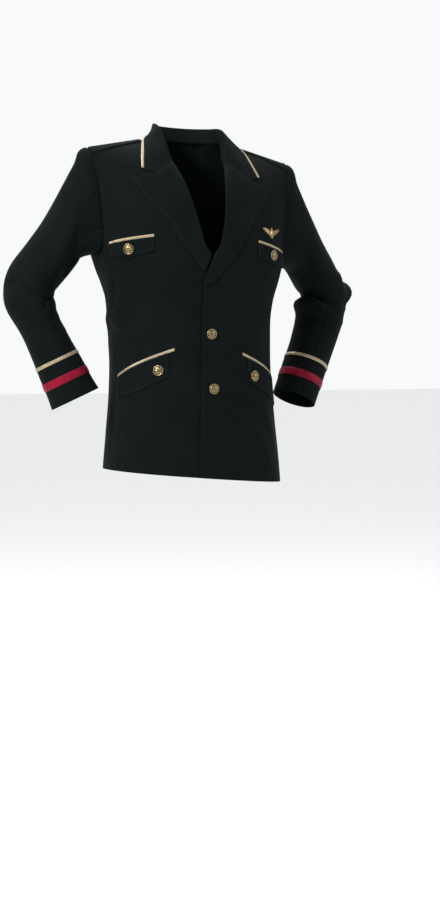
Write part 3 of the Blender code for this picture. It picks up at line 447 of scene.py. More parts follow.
SEARCH_FROM = -20.0  # angles between which a place on the front is searched for
SEARCH_TO = 90.0
PLACE_TO = 85.0
HALVINGS = 36


def find(low, high, too_low):
    """The values between low and high at which too_low stops being true."""
    for _ in range(HALVINGS):
        middle = (low + high) / 2
        under = too_low(middle)
        low, high = np.where(under, middle, low), np.where(under, high, middle)
    return (low + high) / 2


def angle_at(side, across, level):
    """The angle at which the skin lies this far from the centre front, towards one side."""
    across, level = np.broadcast_arrays(np.asarray(across, float), np.asarray(level, float))
    low, high = np.full(level.shape, SEARCH_FROM), np.full(level.shape, SEARCH_TO)
    return side * find(low, high, lambda a: side * torso(side * a, level)[..., 0] < across)


def level_at(angle, height):
    """The level of a height, measured before the jacket leans."""
    rise = (height - CHEST) / (top_line(angle)[..., 2] - CHEST)
    above = np.degrees(np.arcsin(np.clip(rise, 0, 1))) / 90
    return np.where(height <= CHEST, height - CHEST, above)


def place(side, across, height):
    """The angles and levels of points of the front, from their distance across and their height."""
    across, height = np.broadcast_arrays(np.asarray(across, float), np.asarray(height, float))
    low, high = np.full(height.shape, SEARCH_FROM), np.full(height.shape, PLACE_TO)

    def too_near(away):
        return side * torso(side * away, level_at(side * away, height))[..., 0] < across

    angle = side * find(low, high, too_near)
    return angle, level_at(angle, height)


def height_of(angle, level):
    """The height of a level, before the jacket leans."""
    rise = np.sin(np.radians(90 * np.clip(level, 0, 1)))
    return np.where(level <= 0, CHEST + level, CHEST + (top_line(angle)[..., 2] - CHEST) * rise)


def edge_angle(side, level):
    """Where a front panel ends: its front edge, and above the break its roll line."""
    return angle_at(side, smooth(FRONT_EDGE, HANDS[side], level), level)


def armhole_angle(level):
    """From the front's or the back's middle to the armhole, or to the seam below it."""
    span = ARMHOLE_FOOT_ANGLE - ARMHOLE_TOP_ANGLE
    return ARMHOLE_TOP_ANGLE + span * (1 - np.maximum(level, 0)) ** 2


# ---------------------------------------------------------------- folds and creases

DEGREE = 0.0031  # metres round the body in one degree
STATION = 0.0175  # metres round a sleeve in one of its 20 stations
PATH_ENDS = (0.08, 0.92)  # the part of half a sine wave that the depth follows along a path
FADE_POWER = 0.7
SPREAD_SHARES = (0.7, 1.2)  # of a fold's spread, where it fades out and where it is deepest
PITCHES = (0.6, 1.8)  # of the gentle waves, against their size

# A trough has a depth under 0 and a ridge over 0, and spread is its half width. On the body a path is
# (angle, height) and on a sleeve (station, along). All but the angles and stations are in millimetres.
Fold = namedtuple("Fold", "path depth spread")


def paths_depth(folds, u, v, closed=0):
    """The height that the folds add at places (u, v), in metres both. Closed is the length once round."""
    total = np.zeros(u.shape)
    for fold in folds:
        path = np.array(fold.path, float)
        lengths = np.linalg.norm(np.diff(path, axis=0), axis=1)
        starts = np.concatenate([[0], np.cumsum(lengths)])
        nearest = np.full(u.shape, 1e9)
        share = np.zeros(u.shape)
        for shift in (-closed, 0, closed) if closed else (0,):
            for k, length in enumerate(lengths):
                step = (path[k + 1] - path[k]) / length
                du, dv = u + shift - path[k][0], v - path[k][1]
                along = np.clip(du * step[0] + dv * step[1], 0, length)
                away = np.hypot(du - along * step[0], dv - along * step[1])
                closer = away < nearest
                nearest = np.where(closer, away, nearest)
                share = np.where(closer, (starts[k] + along) / starts[-1], share)
        worn_in = np.sin(np.pi * between(PATH_ENDS, share)) ** FADE_POWER
        spread = fold.spread * between(SPREAD_SHARES, worn_in)
        total += fold.depth * worn_in * np.exp(-((nearest / spread) ** 2))
    return total


def waves(u, v, seed, size, count=7):
    """Gentle unevenness that never repeats, from -1 to 1."""
    pick = np.random.default_rng(seed)
    total = np.zeros(u.shape)
    for _ in range(count):
        way = pick.uniform(0, 2 * math.pi)
        pitch = size * pick.uniform(*PITCHES)
        phase = pick.uniform(0, 2 * math.pi)
        total += np.sin(2 * math.pi * (u * math.cos(way) + v * math.sin(way)) / pitch + phase)
    return total / count


BODY_FOLDS = (
    # Front, the wearer's right: from the armhole down to the flap, and soft drags from the button.
    Fold(((-62, -150), (-60, -200), (-64, -250)), -3, 12),
    Fold(((-66, -130), (-65, -180), (-69, -235)), 2.8, 12),
    Fold(((-50, -290), (-58, -350), (-66, -420)), -1.8, 14),
    Fold(((-66, -300), (-74, -345), (-84, -380)), -2.2, 12),
    Fold(((-6, -432), (-22, -440), (-42, -462)), -1.4, 12),
    Fold(((-8, -445), (-26, -462), (-40, -490)), 1.2, 10),
    Fold(((-24, -600), (-34, -650), (-38, -720)), -2, 18),
    Fold(((-52, -600), (-56, -660), (-56, -730)), 1.8, 20),
    # Front, the wearer's left: the pull from the chest to the button, and the drags over the hip.
    Fold(((6, -425), (22, -415), (44, -400)), -1.4, 12),
    Fold(((8, -440), (28, -446), (46, -452)), 1.2, 10),
    Fold(((62, -150), (60, -205), (64, -255)), -2.8, 12),
    Fold(((66, -130), (66, -185), (70, -240)), 2.6, 12),
    Fold(((20, -575), (34, -610), (46, -655)), -2.6, 14),
    Fold(((18, -610), (32, -655), (44, -712)), 2.4, 14),
    Fold(((12, -625), (22, -675), (31, -730)), -2, 13),
    Fold(((52, -585), (60, -640), (62, -720)), -2.2, 18),
    # Sides: the waist's break, with the cloth heaped a little above it.
    Fold(((-74, -425), (-90, -418), (-106, -432)), -3, 13),
    Fold(((-72, -398), (-90, -390), (-110, -402)), 2.6, 13),
    Fold(((74, -432), (90, -425), (108, -438)), -3, 13),
    Fold(((72, -404), (90, -396), (108, -406)), 2.6, 13),
    Fold(((-84, -470), (-88, -560), (-90, -700)), 2, 18),
    Fold(((86, -480), (88, -570), (92, -700)), 2, 18),
    Fold(((-100, -300), (-108, -345), (-118, -385)), -2.2, 12),
    Fold(((98, -305), (106, -350), (118, -390)), -2.2, 12),
    # Back: from the shoulder blades to the armholes, across the waist, and down the skirt.
    Fold(((-118, -150), (-124, -210), (-122, -275)), -3.4, 14),
    Fold(((-126, -140), (-134, -215), (-132, -300)), 2.6, 16),
    Fold(((118, -150), (125, -215), (122, -280)), -3.4, 14),
    Fold(((127, -145), (135, -220), (131, -305)), 2.6, 16),
    Fold(((-150, -405), (-168, -425), (176, -418)), -2.6, 14),
    Fold(((-130, -430), (-146, -442), (-160, -436)), -2, 12),
    Fold(((178, -440), (162, -452), (144, -444)), -2.4, 13),
    Fold(((150, -398), (138, -410), (124, -402)), -2, 12),
    Fold(((-166, -395), (-150, -380), (-134, -392)), 2, 12),
    Fold(((166, -424), (150, -428), (136, -420)), 1.8, 10),
    Fold(((-140, -470), (-144, -590), (-142, -730)), 2.6, 22),
    Fold(((142, -480), (146, -600), (145, -730)), 2.6, 22),
    Fold(((-160, -500), (-162, -610), (-160, -735)), -2.2, 20),
    Fold(((163, -510), (161, -620), (163, -735)), -2.2, 20),
    Fold(((-170, -80), (180, -100), (170, -84)), -1.2, 14),
)

SLEEVE_FOLDS = {
    -1: (
        # The elbow's crease, from its outside round to the crook, and the folds that fan from the crook.
        Fold(((0.5, 0), (2.6, -12), (5, 4), (7.6, 30)), -4.2, 8),
        Fold(((1.2, 16), (3.2, 6), (5.4, 22), (7.4, 44)), 3, 9),
        Fold(((10, -4), (8.2, 20), (6.2, 52)), -4.6, 9),
        Fold(((10, 20), (12.4, 30), (14.6, 24)), -4.4, 8),
        Fold(((10, -24), (12.6, -40), (15.4, -50)), -3.6, 9),
        Fold(((9.6, 40), (12, 56), (15, 60)), 2.8, 9),
        Fold(((10.4, 60), (8, 76), (5.2, 84)), -2.6, 8),
        Fold(((10.2, 82), (7.8, 98), (5.6, 104)), -2.2, 8),
        Fold(((9.8, 104), (7.4, 116), (4.8, 122)), 1.6, 8),
        Fold(((19.2, -6), (17.2, 6), (15.4, 0)), -3, 9),
        # The armpit's folds, running out along the arm.
        Fold(((6.4, -170), (7.6, -120), (8.8, -70)), -4.4, 12),
        Fold(((5, -180), (6.2, -130), (7, -60)), 3.4, 12),
        Fold(((8, -165), (9.6, -120), (10.6, -60)), 3.4, 12),
        Fold(((13.4, -170), (12.4, -120), (11.6, -60)), -4, 12),
        Fold(((15.4, -170), (15, -110), (14.2, -50)), 3.4, 14),
        Fold(((3.4, -190), (4, -130), (4.2, -70)), -2.2, 14),
        Fold(((17.6, -180), (17.8, -120), (17.4, -60)), -2.2, 14),
        # The forearm, pulled straight to the cuff.
        Fold(((2.6, 70), (2.2, 130), (2.8, 200)), 1.4, 14),
        Fold(((17.6, 50), (17.2, 120), (17.6, 200)), 1.6, 14),
    ),
    1: (
        # The elbow's folds: its point, the crease right across, the heap under it, and the point's flanks.
        Fold(((17.2, 4), (18.6, -6), (20, -10), (21.4, -7), (22.8, 2)), 20.5, 9),
        Fold(((18.6, 20), (20, 16), (21.6, 19)), -6, 8.5),
        Fold(((18.6, -34), (20, -36), (21.4, -33)), -4, 9),
        Fold(((7.2, 34), (10, 38), (12.8, 34)), 20, 15),
        Fold(((18.6, -140), (20, -105), (20.8, -70)), 6, 20),
        Fold(((2, 4), (4, 10), (6.4, 12), (8.8, 0)), -5.2, 7),
        Fold(((2.6, 26), (5, 34), (7.6, 32)), -4, 7),
        Fold(((3, 16), (5.2, 22), (7.8, 18)), 3.2, 7),
        Fold(((3.2, 44), (5.4, 52), (7.8, 48)), 3.4, 9),
        Fold(((0.6, -22), (2.4, -40), (4.4, -48)), 3.4, 10),
        Fold(((1.2, -6), (3.2, -18), (5.6, -20)), 3, 8),
        Fold(((10, -4), (12.4, 4), (15, 8)), -5, 8),
        Fold(((10, 22), (12.6, 32), (15.2, 40)), -4, 8),
        Fold(((10, 10), (12.4, 18), (14.8, 24)), 3, 8),
        Fold(((10.2, -30), (12.8, -40), (15.4, -50)), -3.4, 9),
        Fold(((19.4, -18), (17.6, -10), (16, -12)), 3, 8),
        Fold(((19.2, 18), (17.2, 14), (15.6, 20)), -3.4, 8),
        Fold(((9.6, 66), (7.6, 80), (5, 86)), -2.6, 8),
        Fold(((9.8, 94), (7.6, 106), (5.4, 112)), -2.2, 9),
        # The armpit's folds.
        Fold(((6.4, -180), (7.4, -130), (8.4, -70)), -4.4, 12),
        Fold(((5, -190), (5.8, -130), (6.4, -60)), 3.4, 12),
        Fold(((8, -170), (9.2, -120), (10.2, -60)), 3, 12),
        Fold(((13.6, -170), (12.6, -120), (11.8, -60)), -4, 12),
        Fold(((15.6, -170), (15, -110), (14.4, -50)), 3.2, 14),
        Fold(((3.2, -180), (3.4, -120), (3, -66)), -2.4, 13),
        Fold(((2, 80), (2.4, 140), (2, 190)), 1.4, 14),
        Fold(((17.4, 60), (17, 130), (17.6, 200)), 1.6, 14),
    ),
}
BODY_FOLD_SHARE = 1.5  # of the depths in the table
BODY_WAVE = 0.0007
BODY_PITCH = 0.11
BODY_SEED = 4
SLEEVE_WAVE = 0.0008
SLEEVE_PITCH = 0.10
SLEEVE_SEED = 11
YOKE_CALM = 0.8
YOKE_HEIGHTS = (-0.10, -0.02)
ARMHOLE_HEIGHTS = (CHEST - 0.02, CHEST + 0.01)
ARMHOLE_AWAY = (20, 27)  # degrees from straight out to the side
ROUND_TO = 185  # degrees, a little past the centre back


def wrapped(folds):
    """The same folds, with any path over the centre back written out on both of its sides."""
    found = []
    for fold in folds:
        turned = [fold.path[0]]
        for angle, height in fold.path[1:]:
            before = turned[-1][0]
            turned.append((before + (angle - before + 180) % 360 - 180, height))
        angles = [angle for angle, _ in turned]
        for whole in (0, -360, 360):
            if min(angles) + whole < ROUND_TO and max(angles) + whole > -ROUND_TO:
                found.append(fold._replace(path=[(angle + whole, height) for angle, height in turned]))
    return found


def in_metres(folds, step):
    """The folds in metres, where the first number of each point of a path counts steps of one size."""
    return [
        Fold([(steps * step, at / 1000) for steps, at in fold.path], fold.depth / 1000, fold.spread / 1000)
        for fold in folds
    ]


WRAPPED = in_metres(wrapped(BODY_FOLDS), DEGREE)


def body_folds(angle, points):
    """How far the folds of the body stand out at its places. The yoke and the armholes stay calm."""
    u, v = angle * DEGREE, points[..., 2]
    height = BODY_FOLD_SHARE * paths_depth(WRAPPED, u, v) + BODY_WAVE * waves(u, v, BODY_SEED, BODY_PITCH)
    near_armhole = ease(v, *ARMHOLE_HEIGHTS) * (1 - ease(np.abs(np.abs(angle) - 90), *ARMHOLE_AWAY))
    return height * (1 - YOKE_CALM * ease(v, *YOKE_HEIGHTS)) * (1 - near_armhole)


# ---------------------------------------------------------------- shells


def placed(name, data):
    """A new object in the scene."""
    item = bpy.data.objects.new(name, data)
    bpy.context.scene.collection.objects.link(item)
    return item


def piece(name, points, faces, cloth, edges, finish):
    """A smooth-shaded mesh with two UV maps in metres: the cloth's own, and (from the edge, along it)."""
    mesh = bpy.data.meshes.new(f"{finish.prefix}_{name}")
    mesh.vertices.add(len(points))
    mesh.vertices.foreach_set("co", np.asarray(points, np.float32).ravel())
    mesh.loops.add(4 * len(faces))
    mesh.loops.foreach_set("vertex_index", faces.ravel().astype(np.int32))
    mesh.polygons.add(len(faces))
    mesh.polygons.foreach_set("loop_start", np.arange(0, 4 * len(faces), 4, dtype=np.int32))
    mesh.update(calc_edges=True)
    for layer, values in (("Cloth", cloth), ("Edge", edges)):
        uv = mesh.uv_layers.new(name=layer)
        uv.data.foreach_set("uv", values[faces.ravel()].astype(np.float32).ravel())
    mesh.polygons.foreach_set("use_smooth", [True] * len(faces))
    mesh.materials.append(finish.material)
    return placed(mesh.name, mesh)


def lengths_along(grid, axis):
    """The distance over a grid from its first row or column."""
    steps = np.linalg.norm(np.diff(grid, axis=axis), axis=-1)
    start = np.zeros_like(np.take(steps, [0], axis=axis))
    return np.cumsum(np.concatenate([start, steps], axis=axis), axis=axis)


def edge_distances(grid):
    """The distance over a grid from each edge: north is the last row and east the last column."""
    across, down = lengths_along(grid, 1), lengths_along(grid, 0)
    return {"n": down[-1:] - down, "s": down, "w": across, "e": across[:, -1:] - across}


def ringed(grid):
    """The grid with its first column again after the last."""
    return np.concatenate([grid, grid[:, :1]], axis=1)


def quads_of(index):
    """The faces between the points of a grid, from the grid of their numbers."""
    return np.stack([index[:-1, :-1], index[:-1, 1:], index[1:, 1:], index[1:, :-1]], axis=-1).reshape(-1, 4)


def dressed(item, cad, slot):
    """Stands a piece in for its CAD node, on the jacket's one body."""
    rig.ride(item, "root")
    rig.replaces(item, cad)
    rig.slot(item, slot)
    return item


RIM = 0.3  # how far a folded edge stands out, against its thickness


def shell(name, skin, inner, finish, closed=False, edged="nesw"):
    """A closed piece between two grids of points, with its open edges rounded as folded cloth.

    Closed joins the last column to the first. Edged names the edges that are stitched.
    """
    if closed:
        skin, inner = ringed(skin), ringed(inner)
        edged = edged.replace("w", "").replace("e", "")
    rows, columns = skin.shape[:2]
    distances = edge_distances(skin)
    across, down = distances["w"], distances["s"]
    cloth = np.stack([across, down * np.median(down[-1]) / np.maximum(down[-1:], 1e-6)], axis=-1)
    far = np.minimum.reduce([np.ones((rows, columns)), *(distances[letter] for letter in edged)])
    edges = np.stack([far, across + down], axis=-1)
    count = rows * columns
    index = np.arange(count).reshape(rows, columns)
    quads = quads_of(index)
    faces = [quads, count + quads[:, ::-1]]
    within = index.copy()
    within[0], within[-1] = index[1], index[-2]
    if closed:
        loops = [index[0], index[-1][::-1]]
    else:
        within[:, 0], within[:, -1] = within[:, 1], within[:, -2]
        loops = [np.concatenate([index[0], index[1:, -1], index[-1, -2::-1], index[-2::-1, 0]])]
    within = within.ravel()
    outer_points, inner_points = skin.reshape(-1, 3), inner.reshape(-1, 3)
    points = [outer_points, inner_points]
    first = 2 * count
    for loop in loops:
        out = unit(outer_points[loop] - outer_points[within[loop]])
        thick = np.linalg.norm(outer_points[loop] - inner_points[loop], axis=1, keepdims=True)
        points.append((outer_points[loop] + inner_points[loop]) / 2 + RIM * thick * out)
        spots = first + np.arange(len(loop))
        first += len(loop)
        a, b, m, n = loop[:-1], loop[1:], spots[:-1], spots[1:]
        faces.append(np.stack([b, a, m, n], axis=-1))
        faces.append(np.stack([n, m, count + a, count + b], axis=-1))
    maps = []
    for layer in (cloth.reshape(-1, 2), edges.reshape(-1, 2)):
        maps.append(np.concatenate([layer, layer, *(layer[loop] for loop in loops)]))
    item = piece(name, np.concatenate(points), np.concatenate(faces), *maps, finish)
    shape = bmesh.new()
    shape.from_mesh(item.data)
    bmesh.ops.remove_doubles(shape, verts=shape.verts, dist=1e-6)
    bmesh.ops.recalc_face_normals(shape, faces=shape.faces)
    shape.to_mesh(item.data)
    shape.free()
    return dressed(item, name, finish.slot)


def grid_normals(grid, towards, closed=False):
    """Which way a grid faces, on the side that turns towards directions given for one or all points."""
    round_it = np.roll(grid, -1, axis=1) - np.roll(grid, 1, axis=1) if closed else np.gradient(grid, axis=1)
    facing = unit(np.cross(np.gradient(grid, axis=0), round_it))
    return facing * np.copysign(1, (facing * towards).sum(axis=-1).mean())


def tree_of(*grids):
    """A search tree over outer skins."""
    points, faces = [], []
    for grid in grids:
        index = len(points) + np.arange(grid.shape[0] * grid.shape[1]).reshape(grid.shape[:2])
        faces.extend(quads_of(index).tolist())
        points.extend(grid.reshape(-1, 3).tolist())
    return BVHTree.FromPolygons(points, faces)


REACH = 0.03  # how far out and in the skin is looked for


def dropped(tree, points, ways):
    """How far out along their ways the points lie from the skin under them. None is 0."""
    found = np.zeros(points.shape[:-1])
    for spot in np.ndindex(found.shape):
        point, way = points[spot], ways[spot]
        hit = tree.ray_cast(Vector(point + REACH * way), Vector(-way), 2 * REACH)[0]
        if hit is not None:
            found[spot] = np.dot(point - np.array(hit), way)
    return found


def laid(tree, angle, level, out):
    """Points that lie over the jacket, out from the skin by a distance, and their ways out."""
    facing, skin = normal(angle, level), torso(angle, level)
    return skin + (np.asarray(out) - dropped(tree, skin, facing))[..., None] * facing, facing


def lifted(tree, low, ways, least):
    """The grid moved out along its ways wherever it would come nearer to the skin than a distance."""
    short = np.maximum(least - dropped(tree, low, ways), 0)
    return low + short[..., None] * ways


# ---------------------------------------------------------------- materials


TWILL = 0.0011  # pitches of the cloth's ribs and yarns, the braid's stitches and the ribbon's ribs
YARN = 0.0007
BRAID_STITCH = 0.0024
RIBBON_RIB = 0.0011
PRESSED_EDGE = 0.0022
STITCH_IN = 0.0058  # from the edge
STITCH_LENGTH = 0.0032
STITCH_SHARE = 0.72  # of its length that shows
STITCH_FADE = (0.0002, 0.0009)
SELVEDGE = (0.0008, 0.0022)
# Widths of the painted shade at the rim of the metal and in the button's groove.
METAL_RIM = 0.0011
METAL_GROOVE = 0.0012
BUTTON_GROOVE_IN = 0.0024
STAR_RAYS = 8
SUITING_DARK = (0.0013, 0.0024, 0.0024)
SUITING_LIGHT = (0.0021, 0.0037, 0.0037)
SUITING_SLUB = (0.0033, 0.0054, 0.0053)
SUITING_WORN = (0.0080, 0.0110, 0.0108)
SUITING_SHEEN = (0.55, 0.66, 0.64)
BRAID_DARK = (0.09, 0.062, 0.030)
BRAID_LIGHT = (0.38, 0.31, 0.20)
BRAID_WORN = (0.24, 0.20, 0.14)
RIBBON_DARK = (0.090, 0.0006, 0.008)
RIBBON_LIGHT = (0.19, 0.0010, 0.016)
# A darker tone at the ribbon's edges: its firmer selvedge, and also painted shade where the satin band turns away.
RIBBON_SELVEDGE_AND_EDGE_SHADE = (0.10, 0.0015, 0.011)
# The first metal tone is painted shade, for the hollows, the rim, the groove and the gaps between the star's rays.
METAL_PAINTED_SHADE = (0.020, 0.013, 0.005)
METAL_BRIGHT = (0.32, 0.24, 0.115)
METAL_PALE = (0.46, 0.38, 0.25)


def feed(sockets, values):
    """Links each named or numbered socket to another one, or sets it to a number or a colour."""
    for key, value in values.items():
        if isinstance(value, bpy.types.NodeSocket):
            value.id_data.links.new(value, sockets[key])
        else:
            sockets[key].default_value = (*value, 1) if isinstance(value, tuple) else value


def maths(operation, first, second=0.0):
    """A maths node on two values, of which one may be a number."""
    tree = (first if isinstance(first, bpy.types.NodeSocket) else second).id_data
    item = tree.nodes.new("ShaderNodeMath")
    item.operation = operation
    feed(item.inputs, {0: first, 1: second})
    return item.outputs[0]


def plus(first, second):
    return maths("ADD", first, second)


def minus(first, second):
    return maths("SUBTRACT", first, second)


def times(first, second):
    return maths("MULTIPLY", first, second)


def ribs(value, pitch):
    """Even ribs across a distance, from -1 to 1."""
    return maths("SINE", times(value, 2 * math.pi / pitch))


def mixed(factor, first, second):
    """The first colour where the factor is 0, and the second where it is 1."""
    item = factor.id_data.nodes.new("ShaderNodeMix")
    item.data_type = "RGBA"
    feed(item.inputs, {0: factor, 6: first, 7: second})
    return item.outputs[2]


def noise(solid, scale, detail):
    """Smooth noise through space, from 0 to 1."""
    item = solid.id_data.nodes.new("ShaderNodeTexNoise")
    feed(item.inputs, {"Vector": solid, "Scale": scale, "Detail": detail, "Roughness": 0.5})
    return item.outputs["Fac"]


def ramp(value, low, high):
    """0 below the low value, 1 above the high one, and a smooth step between."""
    item = value.id_data.nodes.new("ShaderNodeMapRange")
    item.interpolation_type = "SMOOTHSTEP"
    feed(item.inputs, {"Value": value, "From Min": low, "From Max": high})
    return item.outputs["Result"]


def fall(value, low, high):
    """1 below the low value and 0 above the high one."""
    return minus(1.0, ramp(value, low, high))


def line(value, at, low, high):
    """1 along a line where the value is the given one, and 0 away from it."""
    return fall(maths("ABSOLUTE", minus(value, at)), low, high)


def bump(height, strength, distance, before=None):
    """The surface's normal tilted by a height, on top of any bump before it."""
    item = height.id_data.nodes.new("ShaderNodeBump")
    feed(item.inputs, {"Strength": strength, "Distance": distance, "Height": height})
    if before is not None:
        feed(item.inputs, {"Normal": before})
    return item.outputs["Normal"]


Blank = namedtuple("Blank", "material u v from_edge along solid")


def blank(name):
    """A new material, with the measures that its pattern is worked out from."""
    material = bpy.data.materials.new(name)
    material.use_nodes = True
    nodes = material.node_tree.nodes
    measures = []
    for layer in ("Cloth", "Edge"):
        uv, split = nodes.new("ShaderNodeUVMap"), nodes.new("ShaderNodeSeparateXYZ")
        uv.uv_map = layer
        feed(split.inputs, {0: uv.outputs[0]})
        measures += [split.outputs[0], split.outputs[1]]
    return Blank(material, *measures, nodes.new("ShaderNodeTexCoord").outputs["Object"])


def coated(material, tone, rough, surface, **others):
    """The material with its shader's sockets fed. Others are sockets named with _ for a space."""
    values = {"Base Color": tone, "Roughness": rough, "Normal": surface}
    values.update({key.replace("_", " "): value for key, value in others.items()})
    feed(material.node_tree.nodes["Principled BSDF"].inputs, values)
    return material


def suiting(name, stitched):
    """Near-black twill with a soft sheen: fine ribs, uneven dye, and a pressed, stitched edge."""
    material, u, v, from_edge, along, solid = blank(name)
    weave = plus(times(ribs(plus(u, v), TWILL), 0.3), times(ribs(minus(u, v), YARN), 0.12))
    fuzz, patchy, slub = noise(solid, 900, 2), noise(solid, 16, 4), noise(solid, 120, 3)
    tone = mixed(ramp(patchy, 0.30, 0.72), SUITING_DARK, SUITING_LIGHT)
    tone = mixed(times(ramp(slub, 0.45, 0.75), 0.35), tone, SUITING_SLUB)
    tone = mixed(times(ramp(weave, -0.4, 0.4), 0.30), tone, SUITING_SLUB)
    tone = mixed(times(fall(from_edge, 0.0, PRESSED_EDGE), 0.45), tone, SUITING_WORN)
    surface = bump(plus(weave, times(fuzz, 0.35)), 0.35, 0.0004)
    if stitched:
        band = line(from_edge, STITCH_IN, *STITCH_FADE)
        dash = maths("LESS_THAN", maths("FRACT", maths("DIVIDE", along, STITCH_LENGTH)), STITCH_SHARE)
        tone = mixed(times(times(band, dash), 0.5), tone, SUITING_WORN)
        surface = bump(band, -0.6, 0.0006, surface)
    rough = plus(times(patchy, 0.12), 0.70)
    return coated(
        material, tone, rough, surface,
        Specular_IOR_Level=0.035, Sheen_Weight=0.012, Sheen_Roughness=0.40, Sheen_Tint=SUITING_SHEEN,
    )


def gold_braid(name):
    """Flat woven braid of metallic thread in slanted stitches."""
    material, _, _, from_edge, along, solid = blank(name)
    thread = ribs(plus(times(from_edge, 1.6), along), BRAID_STITCH)
    wear = noise(solid, 60, 4)
    tone = mixed(ramp(thread, -0.9, 0.7), BRAID_DARK, BRAID_LIGHT)
    tone = mixed(times(ramp(wear, 0.48, 0.70), 0.45), tone, BRAID_WORN)
    rough = plus(times(wear, 0.2), 0.30)
    return coated(material, tone, rough, bump(thread, 0.5, 0.0004), Metallic=0.45)


def red_ribbon(name):
    """Crimson satin ribbon with fine ribs along it and a firm selvedge, with its edges darkened partly as painted
    shade.
    """
    material, u, _, from_edge, _, solid = blank(name)
    rib, selvedge_and_edge_shade = ribs(u, RIBBON_RIB), fall(from_edge, *SELVEDGE)
    uneven = noise(solid, 40, 3)
    tone = mixed(ramp(uneven, 0.3, 0.7), RIBBON_DARK, RIBBON_LIGHT)
    tone = mixed(times(ramp(rib, -1, 1), 0.25), tone, RIBBON_DARK)
    # Darker edges: the selvedge, and painted shade at the sides of the band.
    tone = mixed(times(selvedge_and_edge_shade, 0.5), tone, RIBBON_SELVEDGE_AND_EDGE_SHADE)
    height = plus(times(rib, 0.4), times(selvedge_and_edge_shade, 0.8))
    rough = plus(times(uneven, 0.15), 0.42)
    return coated(material, tone, rough, bump(height, 0.4, 0.0003), Specular_IOR_Level=0.10)


def gold_metal(name, groove_in):
    """Gold-coloured metal, polished on its high parts, scratched, and with painted shade in its hollows, at its rim,
    in its groove and between the star's rays.
    """
    material, _, _, from_edge, along, solid = blank(name)
    wear, scratch = noise(solid, 220, 4), noise(solid, 1800, 2)
    cavity = material.node_tree.nodes.new("ShaderNodeNewGeometry").outputs["Pointiness"]
    # The raised parts, picked out by pointiness: polished, and left lit against the painted shade in the hollows.
    high = ramp(cavity, 0.47, 0.53)
    tone = mixed(high, METAL_PAINTED_SHADE, METAL_BRIGHT)
    tone = mixed(times(ramp(wear, 0.5, 0.7), 0.4), tone, METAL_PALE)
    # Painted shadow round the rim.
    tone = mixed(times(fall(from_edge, 0.0, METAL_RIM), 0.85), tone, METAL_PAINTED_SHADE)
    if groove_in:
        # Painted shade in the groove.
        groove = line(from_edge, groove_in, 0.0002, METAL_GROOVE)
        tone = mixed(times(groove, 0.9), tone, METAL_PAINTED_SHADE)
        # Painted shade between the star's raised rays.
        rays = maths("COSINE", times(along, STAR_RAYS / BUTTON_RADIUS))
        dome = ramp(from_edge, groove_in, groove_in + METAL_GROOVE)
        tone = mixed(times(times(fall(rays, -0.7, 0.5), dome), 0.8), tone, METAL_PAINTED_SHADE)
    rough = plus(minus(0.34, times(high, 0.14)), times(wear, 0.10))
    return coated(material, tone, rough, bump(scratch, 0.08, 0.0003), Metallic=0.9)


# A finish gives a piece its material, the start of its name and its slot in the record.
Finish = namedtuple("Finish", "material prefix slot")
PLAIN = Finish(suiting("suiting_panel", False), "cloth", "suiting")
STITCHED = Finish(suiting("suiting_edge_stitched", True), "cloth", "suiting")
GOLD_BRAID = Finish(gold_braid("gold_braid"), "trim", "gold_braid")
RED_RIBBON = Finish(red_ribbon("red_ribbon"), "trim", "red_ribbon")
BUTTON_METAL = Finish(gold_metal("gold_metal_button", BUTTON_GROOVE_IN), "metal", "gold_metal")
BADGE_METAL = Finish(gold_metal("gold_metal_badge", 0), "metal", "gold_metal")

# ---------------------------------------------------------------- sheets


def area_of(grid):
    """The area of a grid of points, each of its cells taken as two triangles."""
    first = np.cross(grid[1:, :-1] - grid[:-1, :-1], grid[:-1, 1:] - grid[:-1, :-1])
    second = np.cross(grid[1:, :-1] - grid[1:, 1:], grid[:-1, 1:] - grid[1:, 1:])
    return (np.linalg.norm(first, axis=-1).sum() + np.linalg.norm(second, axis=-1).sum()) / 2


def cut(item, skin, held, rests_on=(), with_pieces=()):
    """Declares a piece as a sheet that was cut flat to its own width and length, in whole millimetres."""
    spans = lengths_along(skin, 1)[:, -1].max(), lengths_along(skin, 0)[-1].max()
    width, length = (math.ceil(float(span) * 1000) / 1000 for span in spans)
    area = min(float(area_of(skin)), width * length)
    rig.sheet(
        item, flat=(width, length), held=held, rests_on=list(rests_on), area=area,
        with_pieces=list(with_pieces),
    )


# ---------------------------------------------------------------- panels

SEAM_DIP = 0.0008
SEAM_REACH = 0.0035
ROWS_TO_CHEST = 112
ROWS_ABOVE_CHEST = 60
FRONT_COLUMNS = (7, 78)  # as far as the neck point, and from there to the armhole
BACK_COLUMNS = (33, 52)
SIDE_COLUMNS = 41
CALM_REACH = 9.0  # degrees over which the back's ridges below the neck points are softened
CALM_FADE = (6.0, 15.0)
CALM_START = 0.10
CALM_STEPS = (-1.0, -0.6, -0.2, 0.2, 0.6, 1.0)


def seamed(skin, facing, seams):
    """Draws a panel in along its seams, so that each joint reads as a fine valley."""
    distances = edge_distances(skin)
    dip = np.zeros(skin.shape[:2])
    for letter in seams:
        dip = np.maximum(dip, SEAM_DIP * np.exp(-((distances[letter] / SEAM_REACH) ** 2)))
    return skin - dip[..., None] * facing


def calmed(angle, level):
    """The skin of the body, with the ridges that run down the back from the neck points softened."""
    from_neck_point = np.abs(180 - np.abs(angle) - NECK_ANGLE)
    reach = CALM_REACH * (1 - ease(from_neck_point, *CALM_FADE)) * ease(1 - level, 0, CALM_START)
    return sum(torso(angle + reach * step, level) for step in CALM_STEPS) / len(CALM_STEPS)


